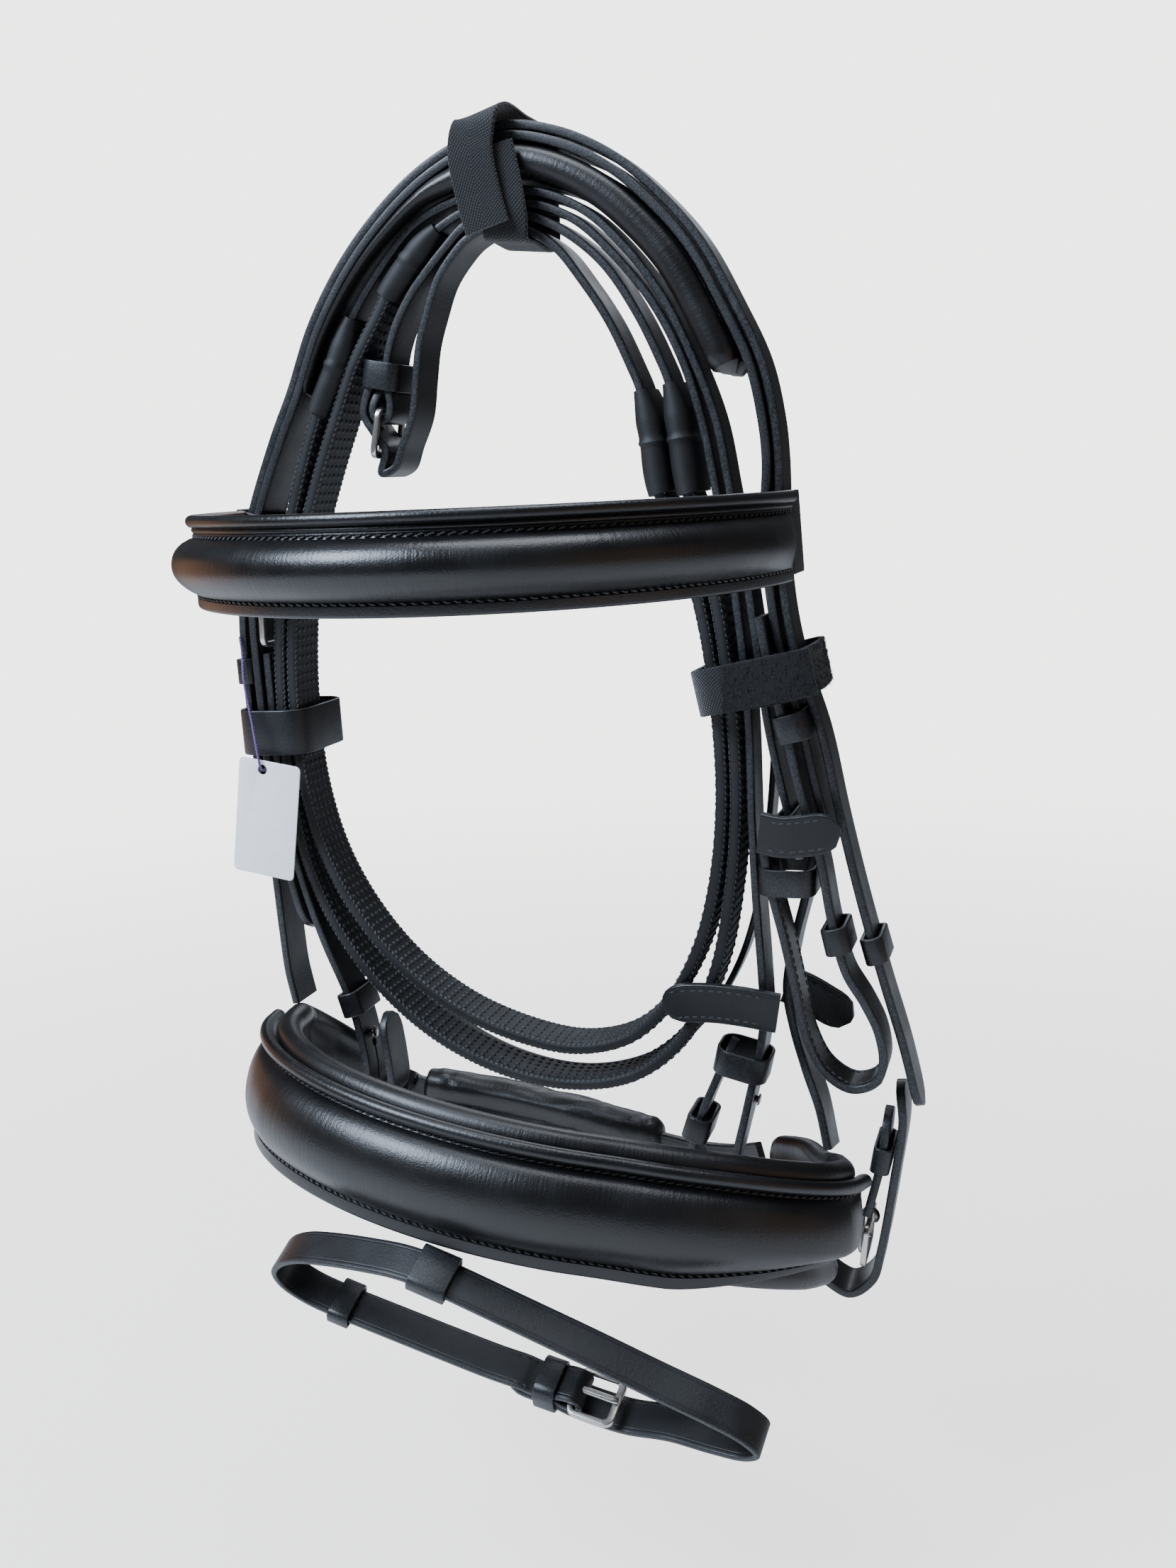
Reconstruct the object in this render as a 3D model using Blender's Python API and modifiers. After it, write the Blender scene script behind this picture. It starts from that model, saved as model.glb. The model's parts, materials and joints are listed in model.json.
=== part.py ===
# Leather horse bridle hanging from a wall peg, each strap, pad, keeper and buckle its own piece.
# +Z is up, the face side looks along -Y, +X is the viewer's right, the origin is the peg seat.
import bpy
import bmesh
import numpy as np
from math import atan2, cos, pi, radians, sin
from mathutils import Matrix, Vector

# Places are shares of these three sizes; the peg seat lies a little above their zero height.
half_span = 0.100
reach = 0.100
tier = 0.100
seat_height = 0.0031

# Clearances
seam_gap = 0.0004
play = 0.0006
nose_fit = 0.0008

# Longest facet of a strap and the most it may turn from one facet to the next
facet = 0.016
facet_turn = radians(15)
route_cuts = 12

# Leather thicknesses and strap widths
strap_thick = 0.0032
thin_thick = 0.0024
grip_thick = 0.0044
rein_thick = 0.0030
rein_width = 0.0180
grip_width = 0.0190
crown_width = 0.0200
cheek_width = 0.0160
throat_width = 0.0120
throat_clear = 0.0002
flash_width = 0.0130
crank_width = 0.0180
keeper_wall = 0.0018
keeper_length = 0.0100
short_keeper = 0.0080
keeper_slack = 0.0005
keeper_loose = 0.0024
thin_wall = 0.0012
runner_slack = 0.0016
flash_loop_length = 0.0140

# Padded crown piece
crown_pad_width = 0.0420
crown_pad_thick = 0.0115
crown_pad_back = 0.0080
pad_thick_shares = [0.22, 0.22, 0.22, 0.24, 0.30, 0.36, 0.45, 0.78, 1.0, 1.0, 1.0, 1.0, 1.0, 1.0, 1.0, 0.85, 0.6]
throat_lap_share = 0.08

# Browband
brow_half = 0.1050
brow_depth = 0.1220
brow_height = 0.0310
brow_lining = 0.0026
brow_crown = 0.0080
brow_level_share = -0.87
brow_middle_share = -0.065
brow_loop_depth = 0.0215

# Noseband
nose_half = 0.1140
nose_depth = 0.0820
nose_height = 0.0440
nose_crown = 0.0085
nose_pad_thick = 0.0110
nose_lining_rise = 0.0020
nose_place_shares = (0.085, -0.08, -3.07)
nose_roll = radians(9.65)
nose_yaw = radians(4)
nose_pitch = radians(-8)
nose_right_shares = [(0.60, -0.725, 0.0), (0.80, -0.655, -0.005), (0.98, -0.555, -0.02), (1.12, -0.43, -0.04),
                     (1.19, -0.31, -0.06), (1.22, -0.20, -0.075)]
nose_taper_share = 0.68
nose_taper_start = 0.075
nose_taper_run = 0.050

# Chin pad
chin_height = 0.0290
chin_thick = 0.0150

# Buckles
wire = 0.0022
flash_buckle_length = 0.0150
rein_buckle_length = 0.0160
tongue_width = 0.0026
tongue_thick = 0.0018

# Sleeves over the ends of the rubber grips
sleeve_wall = 0.0016
sleeve_ridge_share = 0.5

# Woven ties and plain band
tie_thick = 0.0016
tie_width = 0.0165

# Hang tag and thread
tag_width = 0.0270
tag_height = 0.0470
tag_thick = 0.0006
thread_radius = 0.0005
tag_hole = 0.0020
tag_tilt = radians(-9)

# Loops standing free round a bundle: inner width and inner thickness
brow_loop_thick = 0.0110
cheek_collar_width = 0.0280
cheek_collar_thick = 0.0094
billet_collar_width = 0.0364
billet_collar_thick = 0.0184
bit_collar_width = 0.0180
bit_collar_thick = 0.0186
slip_collar_thick = 0.0050
tab_collar_width = 0.0270
tab_collar_thick = 0.0046
tab_collar_length = 0.0130
band_round = 0.0372
band_thick = 0.0276

# Small fittings
stud_radius = 0.0024
stud_height = 0.0022
cheek_buckle_length = 0.0150
crank_buckle_length = 0.0150
billet_tab_width = 0.0150
band_width = 0.0180


# Materials
def material(name, colour, roughness, metallic):
    made = bpy.data.materials.new(name)
    made.use_nodes = True
    shader = made.node_tree.nodes["Principled BSDF"]
    shader.inputs["Base Color"].default_value = (*colour, 1)
    shader.inputs["Roughness"].default_value = roughness
    shader.inputs["Metallic"].default_value = metallic
    return made


# Scene and collections
def clear_scene():
    for ob in list(bpy.data.objects):
        bpy.data.objects.remove(ob, do_unlink=True)


def collection(name):
    made = bpy.data.collections.new(name)
    bpy.context.scene.collection.children.link(made)
    return made


def add_object(name, data, finish, into):
    ob = bpy.data.objects.new(name, data)
    data.materials.append(finish)
    into.objects.link(ob)
    return ob


def at(x, y, z):
    return Vector((x * half_span, y * reach, z * tier - seat_height))


def places(table):
    return [at(*row) for row in table]


# Smooth route through a list of points, cut into facets by length and by turn
def dense_route(points, closed=False):
    pts = np.array([tuple(p) for p in points], float)
    if closed:
        pts = np.vstack([pts[-1], pts, pts[0], pts[1]])
    else:
        pts = np.vstack([2 * pts[0] - pts[1], pts, 2 * pts[-1] - pts[-2]])
    out = []
    for a, b, c, d in zip(pts[:-3], pts[1:-2], pts[2:-1], pts[3:]):
        t0 = 0.0
        t1 = t0 + np.linalg.norm(b - a) ** 0.5
        t2 = t1 + np.linalg.norm(c - b) ** 0.5
        t3 = t2 + np.linalg.norm(d - c) ** 0.5
        for t in np.linspace(t1, t2, route_cuts, endpoint=False):
            a1 = (t1 - t) / (t1 - t0) * a + (t - t0) / (t1 - t0) * b
            a2 = (t2 - t) / (t2 - t1) * b + (t - t1) / (t2 - t1) * c
            a3 = (t3 - t) / (t3 - t2) * c + (t - t2) / (t3 - t2) * d
            b1 = (t2 - t) / (t2 - t0) * a1 + (t - t0) / (t2 - t0) * a2
            b2 = (t3 - t) / (t3 - t1) * a2 + (t - t1) / (t3 - t1) * a3
            out.append((t2 - t) / (t2 - t1) * b1 + (t - t1) / (t2 - t1) * b2)
    out.append(pts[-2])
    return np.array(out)


def stations(points, closed=False, marks=()):
    fine = dense_route(points, closed)
    forced = {mark * route_cuts for mark in marks}
    kept = [0]
    turned = 0.0
    run = 0.0
    for i in range(1, len(fine) - 1):
        before = Vector(fine[i] - fine[i - 1])
        after = Vector(fine[i + 1] - fine[i])
        turned += before.angle(after, 0.0)
        run += before.length
        near = any(0 < mark - i < route_cuts / 3 for mark in forced)
        if i in forced or (not near and (turned > facet_turn or run > facet)):
            kept.append(i)
            turned = 0.0
            run = 0.0
    kept.append(len(fine) - 1)
    spots = [Vector(fine[i]) for i in kept]
    heads = []
    for i in kept:
        low = max(i - 1, 0)
        high = min(i + 1, len(fine) - 1)
        heads.append(Vector(fine[high] - fine[low]).normalized())
    return spots, heads


# One station of a strap: its middle, its run, its width direction and its face direction.
# The width direction is one vector, or a function of the place.
def frames(points, across, closed=False, marks=()):
    spots, heads = stations(points, closed, marks)
    rows = []
    for spot, head in zip(spots, heads):
        wide = across(spot) if callable(across) else across
        side = (wide - wide.dot(head) * head).normalized()
        rows.append((spot, head, side, head.cross(side)))
    return rows


def nearest_row(rows, spot):
    return min(range(len(rows)), key=lambda i: (rows[i][0] - spot).length)


# Row at the place on the route nearest to a spot
def route_row(rows, spot):
    best = None
    for low, high in zip(rows[:-1], rows[1:]):
        run = high[0] - low[0]
        share = min(1.0, max(0.0, (spot - low[0]).dot(run) / run.length_squared))
        place = low[0] + run * share
        if best is None or (place - spot).length < best[0]:
            head = run.normalized()
            wide = low[2].lerp(high[2], share)
            side = (wide - wide.dot(head) * head).normalized()
            best = ((place - spot).length, (place, head, side, head.cross(side)))
    return best[1]


def moved_row(row, along):
    return (row[0] + row[1] * along, *row[1:])


# Line set in from another by the thickness of what lies between
def inset(points, distance):
    out = []
    for i, spot in enumerate(points):
        before = points[max(i - 1, 0)]
        after = points[min(i + 1, len(points) - 1)]
        run = (after - before).normalized()
        depth = distance[i] if isinstance(distance, list) else distance
        out.append(spot + Vector((run.z, 0, -run.x)) * depth)
    return out


def shade(ob, smooth=True):
    for face in ob.data.polygons:
        face.use_smooth = smooth


def modifier(ob, kind, **settings):
    made = ob.modifiers.new(kind.title(), kind)
    for key, value in settings.items():
        setattr(made, key, value)
    return made


# Flat strap: a grid laid along the route, made solid
def strap(name, rows, width, thick, finish, into, tips=(1.0, 1.0)):
    bm = bmesh.new()
    steps = len(rows) - 1
    bmesh.ops.create_grid(bm, x_segments=steps, y_segments=1, size=0.5)
    for vert in bm.verts:
        i = round((vert.co.x + 0.5) * steps)
        share = vert.co.y
        if i == 0:
            share *= tips[0]
        if i == steps:
            share *= tips[1]
        spot, head, side, face = rows[i]
        vert.co = spot + side * (share * width)
    mesh = bpy.data.meshes.new(name)
    bm.to_mesh(mesh)
    bm.free()
    ob = add_object(name, mesh, finish, into)
    modifier(ob, "SOLIDIFY", thickness=thick, offset=0.0, use_even_offset=True)
    return ob


# Padded or shaped strip: one closed section carried along the route
def lofted(name, rows, sections, finish, into):
    bm = bmesh.new()
    rings = []
    for (spot, head, side, face), section in zip(rows, sections):
        rings.append([bm.verts.new(spot + side * across + face * out) for across, out in section])
    count = len(sections[0])
    for low, high in zip(rings[:-1], rings[1:]):
        for j in range(count):
            k = (j + 1) % count
            bm.faces.new((low[j], low[k], high[k], high[j]))
    bm.faces.new(rings[0])
    bm.faces.new(list(reversed(rings[-1])))
    bmesh.ops.recalc_face_normals(bm, faces=bm.faces)
    mesh = bpy.data.meshes.new(name)
    bm.to_mesh(mesh)
    bm.free()
    ob = add_object(name, mesh, finish, into)
    shade(ob)
    return ob


# Open tube round a strap, thickened outwards
def tube(name, rows, sizes, wall, finish, into):
    bm = bmesh.new()
    rings = []
    for (spot, head, side, face), (wide, deep) in zip(rows, sizes):
        ring = []
        cut = play * 1.6
        half = wide / 2
        high = deep / 2
        corners = [(half, high - cut), (half - cut, high), (cut - half, high), (-half, high - cut),
                   (-half, cut - high), (cut - half, -high), (half - cut, -high), (half, cut - high)]
        for across, out in corners:
            ring.append(bm.verts.new(spot + side * across + face * out))
        rings.append(ring)
    for low, high in zip(rings[:-1], rings[1:]):
        for j in range(8):
            k = (j + 1) % 8
            bm.faces.new((low[j], low[k], high[k], high[j]))
    bmesh.ops.recalc_face_normals(bm, faces=bm.faces)
    mesh = bpy.data.meshes.new(name)
    bm.to_mesh(mesh)
    bm.free()
    ob = add_object(name, mesh, finish, into)
    centre = sum((row[0] for row in rows), Vector()) / len(rows)
    outward = sum((f.normal.dot(f.center - centre) for f in mesh.polygons))
    modifier(ob, "SOLIDIFY", thickness=wall, offset=1.0 if outward > 0 else -1.0, use_even_offset=True)
    return ob


# Keeper: a short loop round one strap or more
def keeper(name, row, wide, deep, finish, into, length=keeper_length, wall=keeper_wall):
    spot, head, side, face = row
    ends = [(spot + head * (length * share), head, side, face) for share in (-0.5, 0.5)]
    return tube(name, ends, [(wide, deep)] * 2, wall, finish, into)


# Flat outline with holes, extruded to both sides
def plate(name, loops, half_depth, place, finish, into, resolution=1):
    data = bpy.data.curves.new(name, "CURVE")
    data.dimensions = "2D"
    data.fill_mode = "BOTH"
    data.extrude = half_depth
    data.resolution_u = resolution
    for loop in loops:
        spline = data.splines.new("POLY")
        spline.points.add(len(loop) - 1)
        for point, (x, y) in zip(spline.points, loop):
            point.co = (x, y, 0, 1)
        spline.use_cyclic_u = True
    ob = add_object(name, data, finish, into)
    ob.matrix_world = place
    return ob


def rounded(wide, tall, radius, steps=3):
    out = []
    for cx, cy, start in ((1, 1, 0), (-1, 1, 90), (-1, -1, 180), (1, -1, 270)):
        for i in range(steps + 1):
            turn = radians(start + 90 * i / steps)
            out.append((cx * (wide / 2 - radius) + radius * cos(turn),
                        cy * (tall / 2 - radius) + radius * sin(turn)))
    return out


def frame_matrix(origin, x_axis, y_axis):
    z_axis = x_axis.cross(y_axis).normalized()
    y_axis = z_axis.cross(x_axis).normalized()
    made = Matrix((x_axis.normalized(), y_axis, z_axis)).transposed().to_4x4()
    made.translation = origin
    return made


# Buckle: local x runs from the bar to the far side, local y along the bar, local z up off the strap
def buckle_frame(name, place, length, width, finish, into):
    outer = [(x + length / 2, y) for x, y in rounded(length + wire, width + 2 * wire, wire)]
    inner = [(x + length / 2, y) for x, y in rounded(length - wire, width, wire / 2)]
    return plate(name, [outer, inner], wire / 2, place, finish, into)


def tongue_loops(length):
    ring = wire * 0.75 + play
    shell = ring + tongue_thick * 0.6
    top = wire / 2 + play + tongue_thick
    low = wire / 2 + play
    far = length + wire / 2
    outline = [(far, low), (far, top - tongue_thick * 0.3), (far - wire, top)]
    start = atan2(top, 0.9 * wire)
    for i in range(9):
        turn = start + (2 * pi - 2 * start * 0.62) * i / 8
        outline.append((shell * cos(turn), shell * sin(turn)))
    outline.append((shell + tongue_thick * 0.4, low))
    hole = [(ring * cos(2 * pi * i / 10), ring * sin(2 * pi * i / 10)) for i in range(10)]
    return [outline, hole]


def buckle_tongue(name, place, length, finish, into):
    turned = place @ Matrix.Rotation(pi / 2, 4, "X")
    return plate(name, tongue_loops(length), tongue_width / 2, turned, finish, into)


def cutter(name, place, size, into):
    bm = bmesh.new()
    bmesh.ops.create_cube(bm, size=1.0, matrix=Matrix.Diagonal((*size, 1.0)))
    mesh = bpy.data.meshes.new(name)
    bm.to_mesh(mesh)
    bm.free()
    ob = bpy.data.objects.new(name, mesh)
    into.objects.link(ob)
    ob.matrix_world = place
    ob.hide_render = True
    ob.display_type = "WIRE"
    return ob


def cut(ob, tool):
    modifier(ob, "BOOLEAN", object=tool, operation="DIFFERENCE", solver="EXACT")


# Routes on the hanging side, as shares: across, depth, height
near_grip_shares = [
    (-0.42, 0, -0.125), (-0.445, 0, -0.165), (-0.577, 0, -0.365), (-0.636, 0, -0.49), (-0.757, 0, -0.765),
    (-0.87, 0, -1.08), (-0.92, 0, -1.38), (-0.935, 0, -1.65), (-0.92, 0, -1.95), (-0.85, 0, -2.24),
    (-0.72, 0, -2.49), (-0.53, 0, -2.71), (-0.29, 0, -2.87), (0, 0, -2.965), (0.2, 0, -2.98),
    (0.4, 0, -2.92), (0.56, 0, -2.77), (0.68, 0, -2.55), (0.75, 0, -2.30), (0.785, 0, -2.0),
    (0.78, 0, -1.70), (0.74, 0, -1.35), (0.675, 0, -1.08), (0.59, 0, -0.867)]
far_grip_shares = [
    (-0.735, 0, -0.52), (-0.825, 0, -0.74), (-0.905, 0, -0.98), (-0.965, 0, -1.28),
    (-0.99, 0, -1.62), (-0.98, 0, -1.98), (-0.925, 0, -2.30), (-0.80, 0, -2.58), (-0.61, 0, -2.82),
    (-0.37, 0, -3.0), (-0.08, 0, -3.11), (0.19, 0, -3.13), (0.42, 0, -3.07), (0.61, 0, -2.91),
    (0.74, 0, -2.65), (0.81, 0, -2.32), (0.84, 0, -2.0), (0.835, 0, -1.7), (0.80, 0, -1.36),
    (0.745, 0, -1.06), (0.695, 0, -0.87)]
near_hand_shares = [
    (0.562, 0, -0.663), (0.53, 0, -0.508), (0.495, 0, -0.42), (0.425, 0, -0.27), (0.335, 0, -0.13),
    (0.235, 0, -0.005), (0.12, 0, 0.062), (0, 0, 0.078), (-0.09, 0, 0.046), (-0.15, 0, -0.005), (-0.215, 0, -0.085),
    (-0.265, 0, -0.20), (-0.30, 0, -0.30), (-0.322, 0, -0.42), (-0.345, 0, -0.55), (-0.395, 0, -0.66),
    (-0.43, 0, -0.735), (-0.485, 0, -0.752)]
far_hand_shares = [
    (0.665, 0, -0.653), (0.635, 0, -0.49), (0.60, 0, -0.40), (0.525, 0, -0.245), (0.415, 0, -0.08), (0.29, 0, 0.03),
    (0.155, 0, 0.101), (0, 0, 0.12), (-0.10, 0, 0.089), (-0.18, 0, 0.022), (-0.26, 0, -0.055), (-0.335, 0, -0.14),
    (-0.40, 0, -0.25)]
near_bit_shares = [
    (-0.302, 0, 0.008), (-0.208, 0, 0.09), (-0.10, 0, 0.14), (0, 0, 0.161), (0.16, 0, 0.143), (0.31, 0, 0.078),
    (0.452, 0, -0.053), (0.58, 0, -0.215), (0.68, 0, -0.41), (0.745, 0, -0.62), (0.79, 0, -0.86),
    (0.84, 0, -1.15), (0.875, 0, -1.45), (0.89, 0, -1.70), (0.895, 0, -2.05), (0.905, 0, -2.35),
    (0.92, 0, -2.62), (0.925, 0, -2.80), (0.905, 0, -2.95), (0.87, 0, -3.10), (0.83, 0, -3.27), (0.79, 0, -3.41),
    (0.735, 0, -3.49), (0.665, 0, -3.48), (0.635, 0, -3.38), (0.67, 0, -3.23), (0.735, 0, -3.07), (0.80, 0, -2.92)]
far_bit_shares = [
    (-0.645, 0, -0.35), (-0.57, 0, -0.19), (-0.45, 0, -0.035), (-0.30, 0, 0.112), (-0.14, 0, 0.178), (0, 0, 0.20),
    (0.17, 0, 0.184), (0.34, 0, 0.11), (0.488, 0, -0.027), (0.615, 0, -0.198), (0.712, 0, -0.395),
    (0.795, 0, -0.62), (0.84, 0, -0.86), (0.89, 0, -1.15), (0.93, 0, -1.45), (0.955, 0, -1.66),
    (0.99, 0, -1.85), (1.03, 0, -2.03), (1.06, 0, -2.20)]
# Outer face of the bundle over the peg, from the left to the right
crown_line_shares = [
    (-1.005, 0, -0.70), (-0.95, 0, -0.60), (-0.861, 0, -0.43), (-0.752, 0, -0.197), (-0.61, 0, 0.01),
    (-0.46, 0, 0.166), (-0.30, 0, 0.29), (-0.135, 0, 0.373), (0.06, 0, 0.426), (0.272, 0, 0.385), (0.475, 0, 0.28),
    (0.63, 0, 0.145), (0.765, 0, -0.015), (0.878, 0, -0.22), (0.972, 0, -0.426), (1.015, 0, -0.62), (1.028, 0, -0.76)]
head_left_shares = [
    (-0.96, 0, -2.57), (-1.02, 0, -2.30), (-1.065, 0, -1.98), (-1.078, 0, -1.65), (-1.085, 0, -1.36),
    (-1.075, 0, -1.15), (-1.035, 0, -0.93)]
head_right_shares = [
    (0.965, 0, -0.97), (0.975, 0, -1.18), (1.01, 0, -1.42), (1.088, 0, -1.72), (1.14, 0, -1.95), (1.18, 0, -2.10)]
slip_left_shares = [
    (-1.045, 0, -2.888), (-1.07, 0, -2.75), (-1.08, 0, -2.6), (-1.10, 0, -2.2), (-1.135, 0, -1.8), (-1.145, 0, -1.4),
    (-1.125, 0, -1.15), (-1.075, 0, -0.93)]
slip_right_shares = [
    (1.015, 0, -0.97), (1.02, 0, -1.18), (1.058, 0, -1.42), (1.152, 0, -1.72), (1.215, 0, -2.02), (1.285, 0, -2.32),
    (1.365, 0, -2.62), (1.44, 0, -2.88), (1.495, 0, -3.12)]
throat_shares = [
    (-1.00, 0, -0.95), (-1.04, 0, -1.25), (-1.04, 0, -1.6), (-1.00, 0, -2.15), (-0.87, 0, -2.58),
    (-0.61, 0, -2.90), (-0.27, 0, -3.12), (0.10, 0, -3.19), (0.40, 0, -3.11), (0.63, 0, -2.92),
    (0.78, 0, -2.68), (0.87, 0, -2.40), (0.92, 0, -2.05), (0.95, 0, -1.65), (0.965, 0, -1.25),
    (0.97, 0, -0.95)]
left_cheek_shares = [
    (-1.04, -0.01, -1.43), (-1.037, -0.01, -1.65), (-1.027, -0.01, -1.98), (-0.98, -0.01, -2.30), (-0.89, -0.01, -2.60),
    (-0.79, -0.01, -2.86), (-0.75, -0.01, -3.04), (-0.7375, -0.01, -3.14), (-0.7365, -0.01, -3.215),
    (-0.721, -0.01, -3.252), (-0.684, -0.01, -3.2675), (-0.647, -0.01, -3.252), (-0.6315, -0.01, -3.215),
    (-0.635, -0.01, -3.12), (-0.645, -0.01, -3.03), (-0.66, -0.01, -2.92)]
right_cheek_shares = [
    (0.95, -0.08, -1.30), (0.988, -0.08, -1.50), (1.043, -0.08, -1.72), (1.095, -0.08, -1.95),
    (1.153, -0.08, -2.15), (1.197, -0.08, -2.40), (1.245, -0.08, -2.58), (1.31, -0.08, -2.69), (1.36, -0.08, -2.80),
    (1.375, -0.08, -2.92), (1.345, -0.08, -2.99), (1.26, -0.08, -3.02), (1.165, -0.08, -2.965),
    (1.10, -0.08, -2.84), (1.06, -0.08, -2.65), (1.02, -0.08, -2.46), (0.97, -0.08, -2.25), (0.945, -0.08, -2.07)]
hanger_shares = [
    (1.11, 0.10, -2.15), (1.07, 0.10, -2.35), (1.02, 0.10, -2.55), (0.995, 0.10, -2.72), (1.02, 0.10, -2.88),
    (1.065, 0.08, -3.02), (1.125, 0.03, -3.16), (1.165, -0.01, -3.318)]
crank_shares = [
    (1.03, 0.06, -3.722), (1.06, 0.06, -3.80), (1.125, 0.06, -3.862), (1.23, 0.05, -3.91), (1.32, 0.04, -3.835),
    (1.355, 0.03, -3.70), (1.405, 0.02, -3.40), (1.435, 0.02, -3.17), (1.42, 0.02, -3.04)]
left_chin_shares = [(-0.873, 0.200, -3.289), (-0.855, 0.33, -3.39), (-0.82, 0.443, -3.472), (-0.763, 0.457, -3.495)]
chin_shares = [(-0.74, 0.46, -3.50), (-0.35, 0.50, -3.55), (0.02, 0.47, -3.59), (0.37, 0.40, -3.62)]
right_chin_shares = [(0.376, 0.398, -3.62), (0.55, 0.37, -3.63), (0.73, 0.31, -3.60), (0.855, 0.2172, -3.535)]
left_arm_shares = ((-1.10, 0.10, -0.02), (-1.04, 0.27, -0.07), (-0.90, 0.38, -0.12))
right_arm_shares = ((1.10, -0.04, -0.085), (1.02, 0.13, -0.07), (0.88, 0.26, -0.09))
crank_billet_shares = [(1.379, 0.02, -3.15), (1.369, 0.02, -3.25), (1.352, 0.02, -3.36), (1.303, 0.02, -3.562)]
far_tab_shares = [(0.95, -0.19, -2.06), (1.03, -0.206, -2.07), (1.13, -0.206, -2.06), (1.235, -0.195, -2.04)]
near_tip_shares = [(0.96, 0.205, -2.76), (1.04, 0.205, -2.79), (1.13, 0.205, -2.84), (1.215, 0.205, -2.885)]
near_tab_shares = [(0.56, -0.12, -2.77), (0.62, -0.13, -2.745), (0.74, -0.13, -2.735), (0.85, -0.13, -2.74),
                   (0.99, -0.12, -2.76)]
top_tie_shares = [
    (0.045, -0.158, 0.33), (0.07, -0.158, 0.20), (0.085, -0.158, 0.09), (0.075, -0.13, 0.034), (0.06, 0.0, 0.034),
    (0.05, 0.2, 0.034), (0.045, 0.30, 0.07), (0.04, 0.32, 0.20), (0.03, 0.32, 0.34), (0.02, 0.29, 0.43),
    (0.01, 0.10, 0.452), (0.01, -0.10, 0.452), (0.0, -0.165, 0.42), (-0.02, -0.185, 0.33), (0.0, -0.185, 0.18),
    (0.03, -0.185, 0.06)]
side_tie_shares = [
    (0.80, -0.185, -1.555), (1.0, -0.19, -1.52), (1.10, -0.18, -1.495), (1.13, -0.12, -1.485), (1.135, 0.1, -1.485),
    (1.10, 0.26, -1.495), (1.0, 0.28, -1.52), (0.80, 0.26, -1.555), (0.732, 0.18, -1.57), (0.723, 0.0, -1.572),
    (0.728, -0.16, -1.57), (0.78, -0.213, -1.555), (0.95, -0.218, -1.52), (1.15, -0.213, -1.48)]
crank_keeper_shares = (1.354, 0.02, -3.34)
crank_bar_shares = (1.305, 0.02, -3.60)
crank_bar_run = (-0.1, 0, -1)
cheek_bar_shares = (-1.03, 0, -1.39)
cheek_bar_run = (0.03, 0, 1)
rein_bar_shares = (-0.47, 0, -0.525)
rein_bar_run = (-0.20, 0, -0.98)
side_tie_across = (-0.2, 0, 0.98)
# Joint axes and the groups that turn about them
nose_axis_shares = (0.062, -0.01, -3.104)
nose_group = ["noseband_face", "noseband_lining", "chin_pad", "chin_strap_left", "chin_strap_right", "crank_strap",
              "crank_billet", "crank_keeper", "crank_buckle_frame", "crank_buckle_tongue"]
flash_group = ["flash_strap", "flash_buckle_frame", "flash_buckle_tongue", "flash_buckle_keeper", "flash_loop"]
# Free loops: middle and run
collar_shares = {
    "keeper_cheek_right": ((1.056, -0.03, -1.69), (0.25, 0, -0.97)),
    "keeper_billet_right": ((1.032, 0.01, -2.25), (0, 0, -1)),
    "keeper_bit_loop": ((0.832, 0, -3.0), (-0.22, 0, -0.97)),
    "keeper_sliphead_left": ((-1.143, 0, -1.50), (0.02, 0, -1)),
    "billet_loop_far": ((1.037, -0.03, -2.07), (0.18, 0, -0.98)),
    "browband_loop_left": ((-1.075, 0, -1.02), (-0.22, 0, -0.975)),
    "browband_loop_right": ((0.993, 0, -1.02), (0.06, 0, -0.998)),
    "band_left": ((-1.035, 0.067, -1.74), (0.02, 0, -1))}
collar_sizes = {
    "keeper_cheek_right": (cheek_collar_width, cheek_collar_thick, keeper_length, thin_wall),
    "keeper_billet_right": (billet_collar_width, billet_collar_thick, keeper_length, thin_wall),
    "keeper_bit_loop": (bit_collar_width, bit_collar_thick, keeper_length, thin_wall),
    "keeper_sliphead_left": (cheek_width + 2 * play, slip_collar_thick, keeper_length, thin_wall),
    "billet_loop_far": (tab_collar_width, tab_collar_thick, tab_collar_length, thin_wall),
    "browband_loop_left": (brow_loop_depth, brow_loop_thick, brow_height * 0.93, keeper_wall),
    "browband_loop_right": (brow_loop_depth, brow_loop_thick - play, brow_height * 0.93, keeper_wall),
    "band_left": (band_round, band_thick, band_width, tie_thick)}
# Keepers close round one strap, and the studs
turn_keeper_shares = (1.20, -0.08, -2.47)
slip_keeper_shares = (1.33, 0, -2.50)
bit_end_shares = (0.66, 0, -3.27)
left_keeper_shares = (-0.79, -0.01, -2.86)
left_stud_shares = (-0.745, -0.01, -3.06)
right_stud_shares = (0.855, 0, -3.16)
tag_shares = (-1.039, -0.19, -1.875)
tag_hole_shares = (-0.065, 0.42)
thread_shares = [
    (-1.15, -0.09, -1.36), (-1.14, -0.10, -1.42), (-1.11, -0.155, -1.52), (-1.07, -0.185, -1.70),
    (-1.045, -0.2035, -1.83), (-1.04, -0.204, -1.858), (-1.039, -0.1978, -1.8728), (-1.039, -0.183, -1.879),
    (-1.039, -0.172, -1.8795)]


# Noseband place: local x along the band's chord, local y to the back, local z up its height
def nose_frame():
    turn = Matrix.Rotation(nose_roll, 4, "Y") @ Matrix.Rotation(nose_yaw, 4, "Z")
    turn = turn @ Matrix.Rotation(nose_pitch, 4, "X")
    return Matrix.Translation(at(*nose_place_shares)) @ turn


def nose_place(x, y, z):
    return nose_frame() @ Vector((x * half_span, y * reach, z * tier))


def nose_axis(v):
    return (nose_frame().to_3x3() @ Vector(v)).normalized()


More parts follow.
